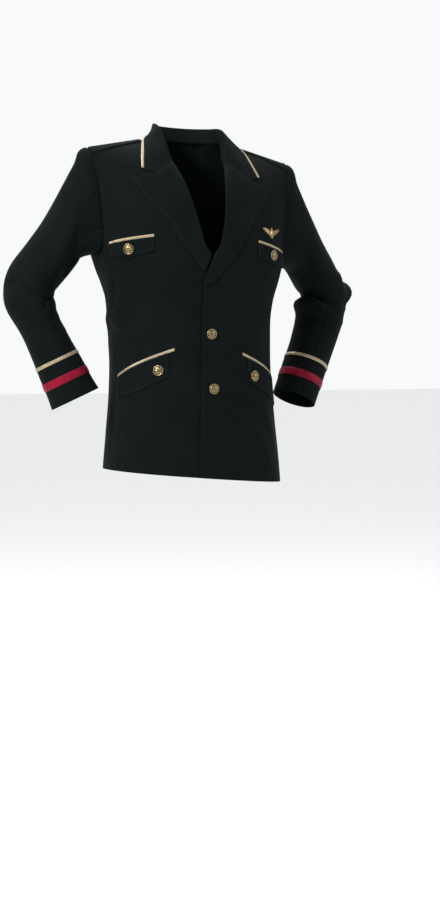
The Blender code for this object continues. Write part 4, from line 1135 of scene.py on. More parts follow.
def panel(name, angle, level, seams, lap=0.0):
    """A panel over its angles and levels. Lap is how far it stands out at the centre front."""
    angle, level = np.broadcast_arrays(angle, level)
    points, facing = calmed(angle, level), normal(angle, level)
    out = lap * (1 - ease(points[..., 0], *LAP_FADE)) + body_folds(angle, points)
    skin = seamed(points + out[..., None] * facing, facing, seams)
    cut(shell(name, skin, skin - CLOTH * facing, PLAIN, edged=""), skin, "hung")
    return skin


def levels_to_chest():
    """Levels of a panel's rows, from the hem to the chest."""
    return np.linspace(HEM - CHEST, 0, ROWS_TO_CHEST + 1)


def levels_to_top():
    """Levels of a panel's rows, from the hem to the shoulder seam."""
    return np.concatenate([levels_to_chest(), np.linspace(0, 1, ROWS_ABOVE_CHEST + 1)[1:]])[:, None]


def shares_round(neck, counts):
    """Shares of the way round a panel, with a column exactly at the neck point."""
    return np.concatenate([np.linspace(0, neck, counts[0]), np.linspace(neck, 1, counts[1])[1:]])[None, :]


def front_panel(side):
    """From the front edge to the side seam and the armhole."""
    level = levels_to_top()
    start = edge_angle(side, level)
    foot = abs(float(edge_angle(side, np.array(1.0))))
    neck = (NECK_ANGLE - foot) / (ARMHOLE_TOP_ANGLE - foot)
    angle = start + (side * armhole_angle(level) - start) * shares_round(neck, FRONT_COLUMNS)
    return panel(f"front_{HANDS[side]}", angle, level, "ne", LAP if side > 0 else 0.0)


def back_panel(side):
    """From the centre back seam to the side-back seam and the armhole."""
    level = levels_to_top()
    share = shares_round(NECK_ANGLE / ARMHOLE_TOP_ANGLE, BACK_COLUMNS)
    return panel(f"back_{HANDS[side]}", side * (180 - armhole_angle(level) * share), level, "nwe")


def under_arm(share):
    """Angles and levels along the foot of the armhole, from its front to its back."""
    angle = between((ARMHOLE_FOOT_ANGLE, 180 - ARMHOLE_FOOT_ANGLE), share)
    return angle, -ARMHOLE_SCOOP * np.sin(math.pi * share)


def side_panel(side):
    """Under the armhole, between the front's seam and the back's."""
    level = levels_to_chest()[:, None]
    angle, foot = under_arm(np.linspace(0, 1, SIDE_COLUMNS)[None, :])
    lowered = level + foot * (level - HEM + CHEST) / (CHEST - HEM)
    return panel(f"side_{HANDS[side]}", side * angle, lowered, "nwe")


# ---------------------------------------------------------------- sleeves

CAP_ROWS = 28
ARM_ROWS = 112
COLUMN_STEPS = 8  # fine columns for each station round a sleeve
CAP_SLOPE = -0.15  # of the sleeve's head where it leaves the shoulder
POINT_POWER = 12  # how narrow the elbow's point is, round the sleeve
WAVE_RADIUS = 0.06
WAVE_SLANT = 0.3
HEAD_CALM = 0.05  # from the armhole, over which the folds fade in
CUFF_CALM = 0.85
CUFF_CALM_FROM, CUFF_CALM_TO = 0.11, 0.06
SLEEVE_HEAD = 0.0062
HEAD_AT, HEAD_SPREAD = 0.018, 0.016
HEAD_ROUND = 0.5


def armhole(side, column):
    """The armhole from the top of the shoulder down the front, under the arm and up the back."""
    column = np.asarray(column, float) % LOOP
    back_from = LOOP_FRONT + LOOP_UNDER
    below = (column > LOOP_FRONT) & (column < back_from)
    under, scoop = under_arm(np.clip((column - LOOP_FRONT) / LOOP_UNDER, 0, 1))
    front = column <= LOOP_FRONT
    level = np.where(front, 1 - column / LOOP_FRONT, (column - back_from) / LOOP_FRONT)
    level = np.where(below, scoop, level)
    angle = np.where(front, armhole_angle(level), 180 - armhole_angle(level))
    return side * np.where(below, under, angle), level


def arm_frame(arm, start, along):
    """The centre of a ring, the way to the outside of the bend, and the way to the hand."""
    elbow, cuff = np.array(arm.elbow), np.array(arm.cuff)
    upper, lower = unit(elbow - start), unit(cuff - elbow)
    bend = math.acos(np.dot(upper, lower))
    inwards = unit(lower - upper * np.dot(upper, lower))
    tangent = arm.bend_radius * math.tan(bend / 2)
    along = min(along, np.linalg.norm(cuff - elbow))
    turn = bend * min(max((along + tangent) / (2 * tangent), 0), 1)
    hand = upper * math.cos(turn) + inwards * math.sin(turn)
    outwards = upper * math.sin(turn) - inwards * math.cos(turn)
    arc = upper * math.sin(turn) + inwards * (1 - math.cos(turn))
    centre = elbow - upper * tangent + arm.bend_radius * arc
    centre += upper * min(along + tangent, 0) + lower * max(along - tangent, 0)
    return centre, outwards, hand


def shoulder_centre(arm):
    """The middle of the armhole's loop."""
    return torso(*armhole(arm.side, np.arange(LOOP))).mean(axis=0)


def arm_rings(arm, alongs, columns):
    """Rings of the sleeve below its head."""
    start, table = shoulder_centre(arm), RINGS[arm.side]
    cos, sin = np.cos(2 * math.pi * columns / LOOP), np.sin(2 * math.pi * columns / LOOP)
    rings = []
    for along in alongs:
        across, depth, shift, point = (smooth(table, column, along) for column in Ring._fields[1:])
        centre, outwards, hand = arm_frame(arm, start, along)
        forwards = np.cross(outwards, hand)
        forwards *= -math.copysign(1, forwards[1])
        out = shift + across * cos + point * np.maximum(cos, 0) ** POINT_POWER
        rings.append(centre + outwards * out[:, None] + forwards * (depth * sin)[:, None])
    return np.array(rings)


def sleeve_grid(arm, columns, alongs):
    """The whole sleeve from the armhole to the cuff, and how far along the arm each row lies."""
    loop = torso(*armhole(arm.side, columns))
    rings = arm_rings(arm, alongs, columns)
    reach = np.linalg.norm(rings[0] - loop, axis=1, keepdims=True)
    leave = reach * CAP_START * unit(np.array([arm.side, 0, CAP_SLOPE]))
    arrive = reach * arm_frame(arm, shoulder_centre(arm), alongs[0])[2]
    shares = np.linspace(0, 1, CAP_ROWS + 1)[:-1]
    cap = np.array([hermite(u, loop, rings[0], leave, arrive) for u in shares])
    grid = np.concatenate([cap, rings])
    lengths = lengths_along(grid, 0).mean(axis=1)
    return grid, lengths - lengths[CAP_ROWS] + alongs[0]


def sleeve_folds(arm, along, column):
    """How far the folds of a sleeve stand out at its places."""
    once_round = LOOP * STATION
    u, v = np.broadcast_arrays(column * STATION, along)
    x, y = (WAVE_RADIUS * turned(2 * np.pi * u / once_round) for turned in (np.cos, np.sin))
    wave = waves(x + WAVE_SLANT * v, y + v, SLEEVE_SEED + arm.side, SLEEVE_PITCH)
    folds = in_metres(SLEEVE_FOLDS[arm.side], STATION)
    return paths_depth(folds, u, v, once_round) + SLEEVE_WAVE * wave


def sleeve(arm):
    """The skin of a whole sleeve, and its two pieces, each with its own skin."""
    length = float(np.linalg.norm(np.array(arm.cuff) - np.array(arm.elbow)))
    columns = np.arange(LOOP * COLUMN_STEPS) / COLUMN_STEPS
    alongs = np.linspace(RINGS[arm.side][0].along, length, ARM_ROWS + 1)
    grid, along = sleeve_grid(arm, columns, alongs)
    facing = grid_normals(grid, grid - grid.mean(axis=1, keepdims=True), closed=True)
    rows_in = lengths_along(grid, 0)
    near_cuff = ease(along, length - CUFF_CALM_FROM, length - CUFF_CALM_TO)[:, None]
    height = sleeve_folds(arm, along[:, None], columns[None, :])
    height *= ease(rows_in, 0.0, HEAD_CALM) * (1 - CUFF_CALM * near_cuff)
    height -= SEAM_DIP * np.exp(-((rows_in / SEAM_REACH) ** 2))
    puff = SLEEVE_HEAD * np.exp(-(((rows_in - HEAD_AT) / HEAD_SPREAD) ** 2))
    height += puff * np.maximum(np.cos(2 * np.pi * columns / LOOP), 0)[None, :] ** HEAD_ROUND
    skin = grid + height[..., None] * facing
    first, last = FRONT_SLEEVE_SEAM * COLUMN_STEPS, BACK_SLEEVE_SEAM * COLUMN_STEPS
    top = np.arange(last, len(columns) + first + 1) % len(columns)
    pieces = []
    for part, span in (("top", top), ("under", np.arange(first, last + 1))):
        name = f"sleeve_{HANDS[arm.side]}_{part}"
        own = seamed(skin[:, span], facing[:, span], "we")
        pieces.append((shell(name, own, own - CLOTH * facing[:, span], PLAIN, edged=""), own))
    return skin, pieces


TRIM_ROWS = 7
RIBBON_ROWS = 9
CUFF_CROWN = 0.55  # the height left at the edges of what goes round a cuff, against the middle's
BRAID_CROWN = 0.6  # and of the other braids


def crowned(share, at_edge):
    """The height of braid or ribbon, over its width from -1 to 1."""
    return TRIM * (at_edge + (1 - at_edge) * np.sqrt(np.maximum(1 - share**2, 0)))


def cuff_band(name, skin, up_cuff, width, rows, finish):
    """A braid or ribbon laid round the sleeve, on its finished skin."""
    from_cuff, lines = edge_distances(skin)["n"][::-1], skin[::-1]
    share = np.linspace(-1, 1, rows)
    grid = np.empty((rows, skin.shape[1], 3))
    for column, axis in np.ndindex(grid.shape[1:]):
        at = up_cuff - share * width / 2
        grid[:, column, axis] = np.interp(at, from_cuff[:, column], lines[:, column, axis])
    facing = grid_normals(grid, grid - grid.mean(axis=1, keepdims=True), closed=True)
    outer = grid + (GAP + crowned(share, CUFF_CROWN)[:, None, None]) * facing
    return shell(name, outer, grid + GAP * facing, finish, closed=True), outer


# ---------------------------------------------------------------- lapels and collar

FLAT = GAP + FOLDED_CLOTH + 0.0003  # skin of a leaf that lies on the front
LAPEL_ROWS = 96
ROLL_COLUMNS = 12
LEAF_COLUMNS = 30
COLLAR_STEPS = 72
ROLL_LINE_POINTS = 120
ROLL_INSIDE = 0.002
ROLL_REACH, ROLL_OUT = ROLL_PROFILE[-1]
ROLL_SHARE = 0.35  # the most of a lapel's width that rolls
GORGE_PULL = 6
LAPEL_BELLY = 0.0022
LAPEL_TIP = 0.0016
STAND_COLUMNS = 2 * ROLL_COLUMNS // 3
STAND_HOLLOW = 0.0016
COLLAR_CROWN = 0.0012
COLLAR_TOP = 0.985
SETTLE_FROM = 0.6  # of the roll's columns, from which it settles on the leaf
TIP_FROM = 0.75  # of the lapel's rows, from which its tip curls off the front
TOP_FROM = 0.9  # of the lapel's rows, from which they settle on the collar's end
END_FROM = 0.72  # of the collar's rows, from which they settle on the lapel's top
CLEARED_FROM = ROLL_COLUMNS + 4  # the collar's columns from here are kept off the body
INSIDE_CHEST = np.array([0, 0, -0.3])
NEAR_SKIN = 0.012


def front_line(side):
    """Heights and distances across of a panel's front edge and roll line."""
    levels = np.linspace(BREAK - CHEST - 0.01, GORGE_LEVEL, ROLL_LINE_POINTS)
    angles = edge_angle(side, levels)
    return height_of(angles, levels), side * torso(angles, levels)[:, 0]


def lapel_grid(side, tree):
    """A lapel: columns over the roll line, then across the leaf to its edge."""
    heights, across = front_line(side)
    foot = LAPEL_FOOT[side]
    gorge = np.array([across[-1], heights[-1]])
    notch, point = np.array(NOTCH), np.array(LAPEL_POINT)
    share = np.linspace(0, 1, LAPEL_ROWS + 1)
    roll_height = between((foot, gorge[1]), share)
    roll_across = np.interp(roll_height, heights, across)
    if side < 0:
        covered = -np.interp(roll_height, *front_line(-side))
        roll_across = np.maximum(roll_across, covered + LAPEL_CLEAR)
    edge_height = between((foot, point[1]), share)
    edge = np.stack([smooth(LAPEL_EDGE, "across", edge_height), edge_height], axis=-1)
    roll = np.stack([roll_across, roll_height], axis=-1)
    width = np.linalg.norm(edge - roll, axis=-1)
    flat_from = np.minimum(ROLL_REACH, ROLL_SHARE * width)
    target = (roll + edge) / 2 + (share**GORGE_PULL)[:, None] * (notch - (gorge + point) / 2)
    towards = unit(target - roll)
    first = roll + flat_from[:, None] * towards

    near_at = place(side, *(roll + ROLL_INSIDE * towards).T)
    far_at = place(side, *(roll + 3 * ROLL_INSIDE * towards).T)
    near, way = laid(tree, *near_at, 0)
    along = unit(laid(tree, *far_at, 0)[0] - near)
    columns = []
    for step_in, step_out in smooth_path(ROLL_PROFILE, ROLL_COLUMNS + 1):
        scale = flat_from / ROLL_REACH if step_in > 0 else np.ones_like(flat_from)
        columns.append(near + (step_in * scale - ROLL_INSIDE)[:, None] * along + step_out * way)
    laid_first, first_way = laid(tree, *place(side, *first.T), ROLL_OUT)
    settle_in = ease(np.arange(ROLL_COLUMNS + 1), ROLL_COLUMNS * SETTLE_FROM, ROLL_COLUMNS)
    slip = laid_first - columns[-1]
    columns = [column + settle_in[k] * slip for k, column in enumerate(columns)]
    ways = [way] * ROLL_COLUMNS + [first_way]
    middle = (first + edge) / 2
    for leaf in np.linspace(0, 1, LEAF_COLUMNS + 1)[1:]:
        spot = first + (edge - first) * leaf + (1 - abs(2 * leaf - 1)) * (target - middle)
        settle = 1 - ease(np.linalg.norm(spot - roll, axis=-1), ROLL_REACH, ROLL_FLAT)
        belly = LAPEL_BELLY * np.sin(np.pi * leaf) * np.sin(np.pi * share) ** 1.5
        tip = LAPEL_TIP * leaf**3 * ease(share, TIP_FROM, 1.0)
        out = between((FLAT, ROLL_OUT), settle) + belly + tip
        laid_points, leaf_way = laid(tree, *place(side, *spot.T), out)
        columns.append(laid_points)
        ways.append(leaf_way)
    return np.stack(columns, axis=1), np.stack(ways, axis=1)


def cleared(tree, points, least):
    """The points, with those that lie close to the skin or under it moved out to a least distance."""
    moved = points.copy()
    for spot in np.ndindex(points.shape[:-1]):
        hit, facing, _, distance = tree.find_nearest(Vector(points[spot]))
        hit, facing = np.array(hit), np.array(facing)
        facing *= math.copysign(1, np.dot(facing, hit - INSIDE_CHEST))
        short = least - np.dot(points[spot] - hit, facing)
        if distance < NEAR_SKIN and short > 0:
            moved[spot] += short * facing
    return moved


def collar_station(side, station, tree):
    """Where the collar is sewn on, its fold and its outer edge, at one station."""
    foot = torso(side * station.foot_angle, 1)
    away = unit(np.array([foot[0], max(foot[1], 0), 0]))
    fold = lean(np.array(station.fold) * (side, 1, 1))
    edge = laid(tree, side * station.edge_angle, min(station.edge_level, COLLAR_TOP), FLAT)[0]
    return foot - STAND_INSIDE * away, fold, edge


def collar_half(side, tree, lapel_top):
    """Rows across the collar from the centre back to its end on one side."""
    lines = zip(*(collar_station(side, row, tree) for row in COLLAR))
    before = collar_station(-side, COLLAR[1], tree)
    end = laid(tree, *place(side, *COLLAR_POINT), FLAT)[0]
    ends = lapel_top[0], lapel_top[STAND_COLUMNS], end
    feet, folds, edges = (
        smooth_path([*line, last], COLLAR_STEPS + 1, first) for line, last, first in zip(lines, ends, before)
    )
    up = unit(folds - feet)
    out = unit(np.cross(np.gradient(folds, axis=0), up))
    out *= np.copysign(1, (out * (edges - folds)).sum(axis=-1, keepdims=True))
    starts = folds + COLLAR_FOLD[0] * out + COLLAR_FOLD[1] * up
    columns = []
    for share in np.linspace(0, 1, STAND_COLUMNS + 1):
        columns.append(between((feet, folds), share) - STAND_HOLLOW * share * (1 - share) * out)
    for share in np.linspace(0, 1, ROLL_COLUMNS - STAND_COLUMNS + 1)[1:]:
        columns.append(between((folds, starts), share) + COLLAR_CROWN * math.sin(math.pi * share) * up)
    for leaf in np.linspace(0, 1, LEAF_COLUMNS + 1)[1:]:
        columns.append(between((starts, edges), leaf) + 4 * leaf * (1 - leaf) * COLLAR_BULGE * out)
    grid = np.stack(columns, axis=1)
    half = ROLL_COLUMNS + LEAF_COLUMNS // 2
    share = np.linspace(0, 1, LEAF_COLUMNS - LEAF_COLUMNS // 2 + 1)[1:, None]
    beyond = cleared(tree, between((lapel_top[half], end), share), FLAT)
    last = np.concatenate([lapel_top[: half + 1], beyond])
    settle = ease(np.arange(COLLAR_STEPS + 1), COLLAR_STEPS * END_FROM, COLLAR_STEPS)
    return grid + settle[:, None, None] * (last - grid[-1])


def faced(grid, out):
    """Which way a grid faces, on the side for which a test of its normals is over 0."""
    facing = unit(np.cross(np.gradient(grid, axis=0), np.gradient(grid, axis=1)))
    return facing * math.copysign(1, out(facing))


def lapels_and_collar(tree):
    """The collar, the right lapel and the left one, each as its piece, its skin and the way it faces."""
    lapels = {side: lapel_grid(side, tree) for side in HANDS}
    halves = {side: collar_half(side, tree, lapels[side][0][-1]) for side in HANDS}
    skin = np.concatenate([halves[-1][::-1], halves[1][1:]])
    skin[:, CLEARED_FROM:] = cleared(tree, skin[:, CLEARED_FROM:], FLAT)
    facing = faced(skin, lambda way: way[len(skin) // 2, -1, 1])
    item = shell("collar", skin, skin - FOLDED_CLOTH * facing, STITCHED, edged="nse")
    made = [(item, skin, facing)]
    for side, (grid, ways) in lapels.items():
        spot = (LAPEL_ROWS // 2, -1)
        facing = faced(grid, lambda way: np.dot(way[spot], ways[spot]))
        top = skin[0 if side < 0 else -1, : ROLL_COLUMNS + LEAF_COLUMNS // 2 + 1]
        near_top = ease(np.arange(LAPEL_ROWS + 1), LAPEL_ROWS * TOP_FROM, LAPEL_ROWS)[:, None, None]
        grid[:, : len(top)] += near_top * (top - grid[-1, : len(top)])
        leaf = slice(ROLL_COLUMNS, None)
        grid[:, leaf] = lifted(tree, grid[:, leaf], ways[:, leaf], FOLDED_CLOTH + GAP)
        grid[-1, : len(top)] = top
        inner = grid - FOLDED_CLOTH * facing
        made.append((shell(f"lapel_{HANDS[side]}", grid, inner, STITCHED, edged="ne"), grid, facing))
    return made


BRAID_IN = 0.0004  # from the collar's edge


def collar_braid(skin, facing):
    """A braid along the collar's outer edge."""
    edge = skin[:, -1]
    inwards = unit(skin[:, -3] - edge)
    share = np.linspace(-1, 1, TRIM_ROWS)
    low = np.stack([edge + inwards * (BRAID_IN + BRAID * (1 - at) / 2) for at in share], axis=1)
    ways = np.repeat(facing[:, -2:-1], len(share), axis=1)
    low = lifted(tree_of(skin), low, ways, GAP)
    skin = low + crowned(share, BRAID_CROWN)[None, :, None] * ways
    return shell("collar_braid", skin, low, GOLD_BRAID)


# ---------------------------------------------------------------- what lies on the jacket


def patch(name, angle, level, thickness, tree, finish, edged="nesw", standing=0.0):
    """A piece that lies on the jacket over a grid of places. Thickness and standing may vary over it."""
    low, ways = laid(tree, angle, level, GAP + np.asarray(standing))
    skin = low + (thickness + np.zeros(angle.shape))[..., None] * ways
    return shell(name, skin, low, finish, edged=edged), skin


FLAP_ROWS, FLAP_COLUMNS = 29, 61
FLAP_STANDS = 0.0012  # how far the lower edge stands off
FLAP_RIPPLE = 0.4  # of that, which comes and goes along the edge
FLAP_END = 0.06
FLAP_BRAID_COLUMNS = 64


def flap(row, tree):
    """A flap under its braid, with a shallow point and a lower edge that stands off a little."""
    share = np.linspace(0, 1, FLAP_COLUMNS)[None, :]
    down = np.linspace(0, 1, FLAP_ROWS)[:, None]
    angle = row.side * between((row.inner, row.outer), share) + 0 * down
    top = between((row.top_inner, row.top_outer), share) - BRAID / 2 - GAP
    deep = between((row.deep_inner, row.deep_outer), share) + row.point * (1 - np.abs(2 * share - 1))
    standing = FLAP_STANDS * down**2 * between((1, np.cos(4 * np.pi * share)), FLAP_RIPPLE)
    standing *= (1 + ease(share, 0, FLAP_END) * (1 - ease(share, 1 - FLAP_END, 1))) / 2
    level = level_at(angle, top - deep * down)
    return patch(row.name, angle, level, FOLDED_CLOTH, tree, STITCHED, "new", standing)


def flap_braid(row, tree):
    """The braid along a flap's upper edge. Over a hip flap it starts nearer to the front."""
    first = row.inner - (BRAID_PAST_HIP_FLAP if row.name.startswith("hip") else 0)
    slope = (row.top_outer - row.top_inner) / (row.outer - row.inner)
    away = np.linspace(first, row.outer, FLAP_BRAID_COLUMNS)[None, :]
    share = np.linspace(-1, 1, TRIM_ROWS)[:, None]
    height = row.top_inner + slope * (away - row.inner) + share * BRAID / 2
    angle = row.side * away + 0 * share
    name, crown = row.name.replace("flap", "braid"), crowned(share, BRAID_CROWN)
    return patch(name, angle, level_at(angle, height), crown, tree, GOLD_BRAID)[0]


STRAP_ROWS, STRAP_COLUMNS = 56, 22
STRAP_BACK = 0.0003
STRAP_FALL = 0.5  # of the shoulder, to either side of the seam, from which the strap is dropped
STRAP_CALMING = 8
STRAP_LIFT = 0.0025
STRAP_CLOTH = 0.0026


def shoulder_strap(side, tree):
    """A strap over the shoulder seam. It bridges the seam's ridge with a soft bend."""
    share = np.linspace(0, 1, STRAP_ROWS + 1)
    out = between((STRAP_FROM, STRAP_TO), share)
    seam = between((NECK_ANGLE, ARMHOLE_TOP_ANGLE), (out - NECK_HALF) / (SHOULDER_HALF - NECK_HALF))
    height = torso(side * seam, np.ones_like(seam))[:, 2]
    half = between(STRAP_HALF_WIDTHS, share)
    behind = half[:, None] * np.linspace(-1, 1, STRAP_COLUMNS + 1)[None, :] + STRAP_BACK
    across = (side * out)[:, None] + 0 * behind
    low = np.stack([across, behind, height[:, None] - STRAP_FALL * np.abs(behind)], axis=-1)
    up = np.zeros_like(low)
    up[..., 2] = 1
    low[..., 2] += GAP - dropped(tree, low, up)
    lowest = low[..., 2].copy()
    for _ in range(STRAP_CALMING):
        wide = np.pad(low[..., 2], ((0, 0), (1, 1)), "reflect", reflect_type="odd")
        low[..., 2] = (wide[:, :-2] + 2 * low[..., 2] + wide[:, 2:]) / 4
    short = np.maximum(lowest - low[..., 2], 0).max(axis=1, keepdims=True)
    low[..., 2] += np.minimum(short, STRAP_LIFT)
    skin = low + STRAP_CLOTH * up
    return shell(f"shoulder_strap_{HANDS[side]}", skin, low, STITCHED), skin


# ---------------------------------------------------------------- buttons and badge

ButtonRing = namedtuple("ButtonRing", "out up")
BUTTON_RINGS = (
    ButtonRing(0.30, 0.00),
    ButtonRing(0.84, 0.00),
    ButtonRing(0.94, 0.03),
    ButtonRing(1.00, 0.10),
    ButtonRing(1.00, 0.17),
    ButtonRing(0.965, 0.235),
    ButtonRing(0.90, 0.265),
    ButtonRing(0.84, 0.245),
    ButtonRing(0.795, 0.205),
    ButtonRing(0.76, 0.215),
    ButtonRing(0.70, 0.270),
    ButtonRing(0.60, 0.330),
    ButtonRing(0.48, 0.385),
    ButtonRing(0.34, 0.430),
    ButtonRing(0.20, 0.460),
    ButtonRing(0.08, 0.475),
)
BUTTON_ROWS, BUTTON_TURNS = 60, 96
ROPE_TWISTS = 32
ROPE_SLANT = 30
Relief = namedtuple("Relief", "height at spread above")
ROPE = Relief(0.016, 0.92, 0.06, 0.12)
STAR = Relief(0.020, 0.42, 0.17, 0.25)


def button(row, tree):
    """A domed metal button with a roped rim and a plain eight-rayed star raised on the dome."""
    turn = np.linspace(0, 2 * np.pi, BUTTON_TURNS, endpoint=False)
    rows = []
    for out, up in smooth_path([(ring.out, ring.up) for ring in BUTTON_RINGS], BUTTON_ROWS):
        rope, star = (
            part.height * math.exp(-(((out - part.at) / part.spread) ** 2)) * (up > part.above)
            for part in (ROPE, STAR)
        )
        rise = up + rope * np.sin(ROPE_TWISTS * turn + ROPE_SLANT * out) + star * np.cos(STAR_RAYS * turn)
        rows.append(np.stack([out * np.cos(turn), out * np.sin(turn), rise], axis=-1))
    grid = BUTTON_RADIUS * np.array(rows)
    grid = np.concatenate([grid, np.zeros((1, BUTTON_TURNS, 3)) + (0, 0, grid[-1, :, 2].mean())])
    flat = grid.reshape(-1, 3)
    faces = quads_of(ringed(np.arange(len(flat)).reshape(len(grid), BUTTON_TURNS)))
    from_middle = np.linalg.norm(flat[:, :2], axis=1)
    round_it = np.arctan2(flat[:, 1], flat[:, 0]) * BUTTON_RADIUS
    edges = np.stack([BUTTON_RADIUS - from_middle, round_it], axis=1)
    item = piece(row.name, flat, faces, flat[:, :2], edges, BUTTON_METAL)
    shape = bmesh.new()
    shape.from_mesh(item.data)
    bmesh.ops.remove_doubles(shape, verts=shape.verts, dist=1e-7)
    bmesh.ops.contextual_create(shape, geom=[edge for edge in shape.edges if edge.is_boundary])
    bmesh.ops.recalc_face_normals(shape, faces=shape.faces)
    angle = np.array(float(row.angle))
    base, way = laid(tree, angle, level_at(angle, row.height), 2 * GAP)
    facing = Vector(way)
    right = (Vector((0, 0, 1)) - facing * facing.z).cross(facing).normalized()
    turned = Matrix((right, facing.cross(right), facing)).transposed().to_4x4()
    bmesh.ops.transform(shape, matrix=Matrix.Translation(Vector(base)) @ turned, verts=shape.verts)
    shape.to_mesh(item.data)
    shape.free()
    item.data.shade_smooth()
    return dressed(item, row.name, BUTTON_METAL.slot)


Wing = namedtuple("Wing", "out upper lower")
WINGS = (
    Wing(0.0000, 0.0125, -0.0105),
    Wing(0.0022, 0.0125, -0.0100),
    Wing(0.0027, 0.0088, -0.0096),
    Wing(0.0044, 0.0072, -0.0090),
    Wing(0.0052, 0.0065, -0.0054),
    Wing(0.0092, 0.0066, -0.0050),
    Wing(0.0106, 0.0072, -0.0026),
    Wing(0.0156, 0.0092, -0.0022),
    Wing(0.0172, 0.0099, 0.0008),
    Wing(0.0220, 0.0110, 0.0018),
    Wing(0.0236, 0.0110, 0.0046),
    Wing(0.0282, 0.0103, 0.0060),
    Wing(0.0300, 0.0096, 0.0086),
)
BADGE_ROWS, BADGE_COLUMNS = 25, 161
FEATHERS = 9
FEATHER_DEPTH = 0.00045
FEATHER_TURN = 0.35  # of the grooves' wave, for each degree of the fan
FEATHER_SWEEP = 900  # of the wave, for each metre outward
FEATHER_ROOT = (0.004, 0.012)  # how far in and down the feathers fan from
BADGE_BASE = 0.55  # of its thickness
BADGE_CROWN = 0.0007  # how much thicker its middle is
BOSS_HALF = (0.0062, 0.0085)
BOSS_UP = 0.001
BOSS_HEIGHT = 0.0016
BOSS_FADE = 1.25  # of the boss's size, from which the grooves are at full depth


def badge(tree):
    """Plain wings about a round boss, with the feathers cut in as grooves."""
    angle = np.array(float(BADGE_AT[0]))
    level = level_at(angle, BADGE_AT[1])
    middle = torso(angle, level)
    right = unit((torso(angle + 1, level) - torso(angle - 1, level)) * (1, 1, 0))
    outs, uppers, lowers = zip(*WINGS)
    out = np.linspace(-outs[-1], outs[-1], BADGE_COLUMNS)
    share = np.linspace(0, 1, BADGE_ROWS)[:, None]
    up = between((np.interp(np.abs(out), outs, lowers), np.interp(np.abs(out), outs, uppers)), share)
    wide = out[None, :] + 0 * share
    at = place(1, middle[0] + wide * right[0], middle[2] + up)
    boss = np.hypot(wide / BOSS_HALF[0], (up - BOSS_UP) / BOSS_HALF[1])
    dome = BOSS_HEIGHT * np.sqrt(np.clip(1 - boss**2, 0, 1))
    fan = np.degrees(np.arctan2(up + FEATHER_ROOT[1], np.abs(wide) + FEATHER_ROOT[0]))
    feathers = np.cos(fan * FEATHERS * FEATHER_TURN + np.abs(wide) * FEATHER_SWEEP)
    groove = FEATHER_DEPTH * feathers * ease(boss, 1.0, BOSS_FADE)
    crown = BADGE_CROWN * np.sin(np.pi * np.clip(share, 0.02, 0.98)) ** 0.6
    relief = BADGE_THICKNESS * BADGE_BASE + crown + dome + groove
    return patch("wings_badge", *at, relief, tree, BADGE_METAL)


# ---------------------------------------------------------------- the jacket

skins = []
for arm in ARMS:
    skins += [make(arm.side) for make in (front_panel, back_panel, side_panel)]
sleeves = [sleeve(arm) for arm in ARMS]
skins += [ringed(skin) for skin, _ in sleeves]
body_tree = tree_of(*skins)

for arm, (skin, ((top, top_skin), (under, under_skin))) in zip(ARMS, sleeves):
    hand = HANDS[arm.side]
    braid, _ = cuff_band(f"cuff_braid_{hand}", skin, BRAID_UP_CUFF, CUFF_BRAID, TRIM_ROWS, GOLD_BRAID)
    ribbon, ribbon_skin = cuff_band(
        f"cuff_ribbon_{hand}", skin, RIBBON_UP_CUFF, CUFF_RIBBON, RIBBON_ROWS, RED_RIBBON
    )
    cut(ribbon, ringed(ribbon_skin), "laid", [top])
    cut(top, top_skin, "hung", with_pieces=[braid])
    cut(under, under_skin, "hung")

(collar, collar_skin, collar_facing), right_lapel, left_lapel = lapels_and_collar(body_tree)
cut(collar, collar_skin, "folded", with_pieces=[collar_braid(collar_skin, collar_facing)])
for lapel, lapel_skin, _ in (left_lapel, right_lapel):
    cut(lapel, lapel_skin, "folded")

for row in FLAPS:
    item, skin = flap(row, body_tree)
    skins.append(skin)
    cut(item, skin, "laid", with_pieces=[flap_braid(row, body_tree)])
for side in HANDS:
    cut(*shoulder_strap(side, body_tree), "laid")
over = tree_of(*skins)
for row in BUTTONS:
    button(row, over)
badge(over)

# ---------------------------------------------------------------- camera, floor and light

CAMERA_AZIMUTH = math.radians(22)
CAMERA_DISTANCE = 4.2
CAMERA_HEIGHT = -0.421
FOCAL = 2.0884  # in image heights
SHIFT = (0.0354, -0.1354)
SENSOR = 36
FLOOR = -1.621
FLOOR_REACH = 30
FLOOR_GREY = (0.86, 0.86, 0.86)
SKY = (0.98, 0.99, 1.0)
LIT_AT = Vector((0, 0, -0.35))

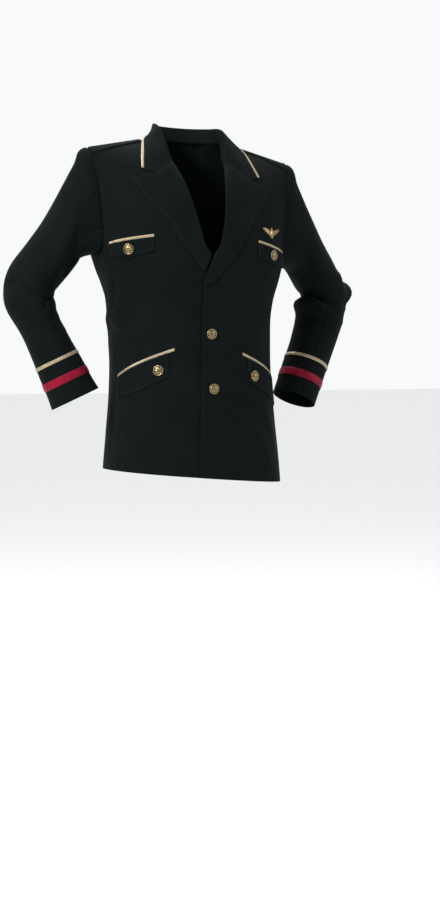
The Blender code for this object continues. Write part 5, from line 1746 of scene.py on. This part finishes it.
forward = Vector((math.sin(CAMERA_AZIMUTH), math.cos(CAMERA_AZIMUTH), 0))
rightward = Vector((math.cos(CAMERA_AZIMUTH), -math.sin(CAMERA_AZIMUTH), 0))
upward = Vector((0, 0, 1))
lens = bpy.data.cameras.new("camera")
lens.sensor_width = SENSOR
lens.lens = SENSOR * FOCAL
lens.shift_x, lens.shift_y = SHIFT
camera = placed("camera", lens)
turned_to = Matrix((rightward, upward, -forward)).transposed().to_4x4()
stand = CAMERA_HEIGHT * upward - CAMERA_DISTANCE * forward
camera.matrix_world = Matrix.Translation(stand) @ turned_to
bpy.context.scene.camera = camera

ends = (-FLOOR_REACH, FLOOR_REACH)
floor_mesh = bpy.data.meshes.new("floor")
floor_mesh.from_pydata([(x, y, FLOOR) for x in ends for y in ends], [], [(0, 2, 3, 1)])
floor_material = bpy.data.materials.new("floor")
floor_material.use_nodes = True
feed(floor_material.node_tree.nodes["Principled BSDF"].inputs, {"Base Color": FLOOR_GREY, "Roughness": 0.9})
floor_mesh.materials.append(floor_material)
floor = placed("floor", floor_mesh)
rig.stage(floor)

bpy.context.scene.view_settings.view_transform = "Standard"
world = bpy.data.worlds.new("world")
bpy.context.scene.world = world
world.use_nodes = True
feed(world.node_tree.nodes["Background"].inputs, {"Color": SKY, "Strength": 0.96})

Light = namedtuple("Light", "name at size power")
LIGHTS = (
    Light("key", (-2.8, -1.5, 1.6), 0.8, 215),
    Light("fill", (2.8, -1.6, 0.6), 1.6, 34),
    Light("top", (0.3, 1.4, 2.6), 1.4, 90),
)
for row in LIGHTS:
    source = bpy.data.lights.new(row.name, "AREA")
    source.shape = "DISK"
    source.size = row.size
    source.energy = row.power
    lamp = placed(row.name, source)
    lamp.location = row.at
    lamp.rotation_euler = (LIT_AT - Vector(row.at)).to_track_quat("-Z", "Y").to_euler()

# ---------------------------------------------------------------- extents

with open("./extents.json", "w") as file:
    json.dump({"cad": [list(corner) for corner in CAD_BOX], "visual": [list(corner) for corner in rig.bounds()]}, file)
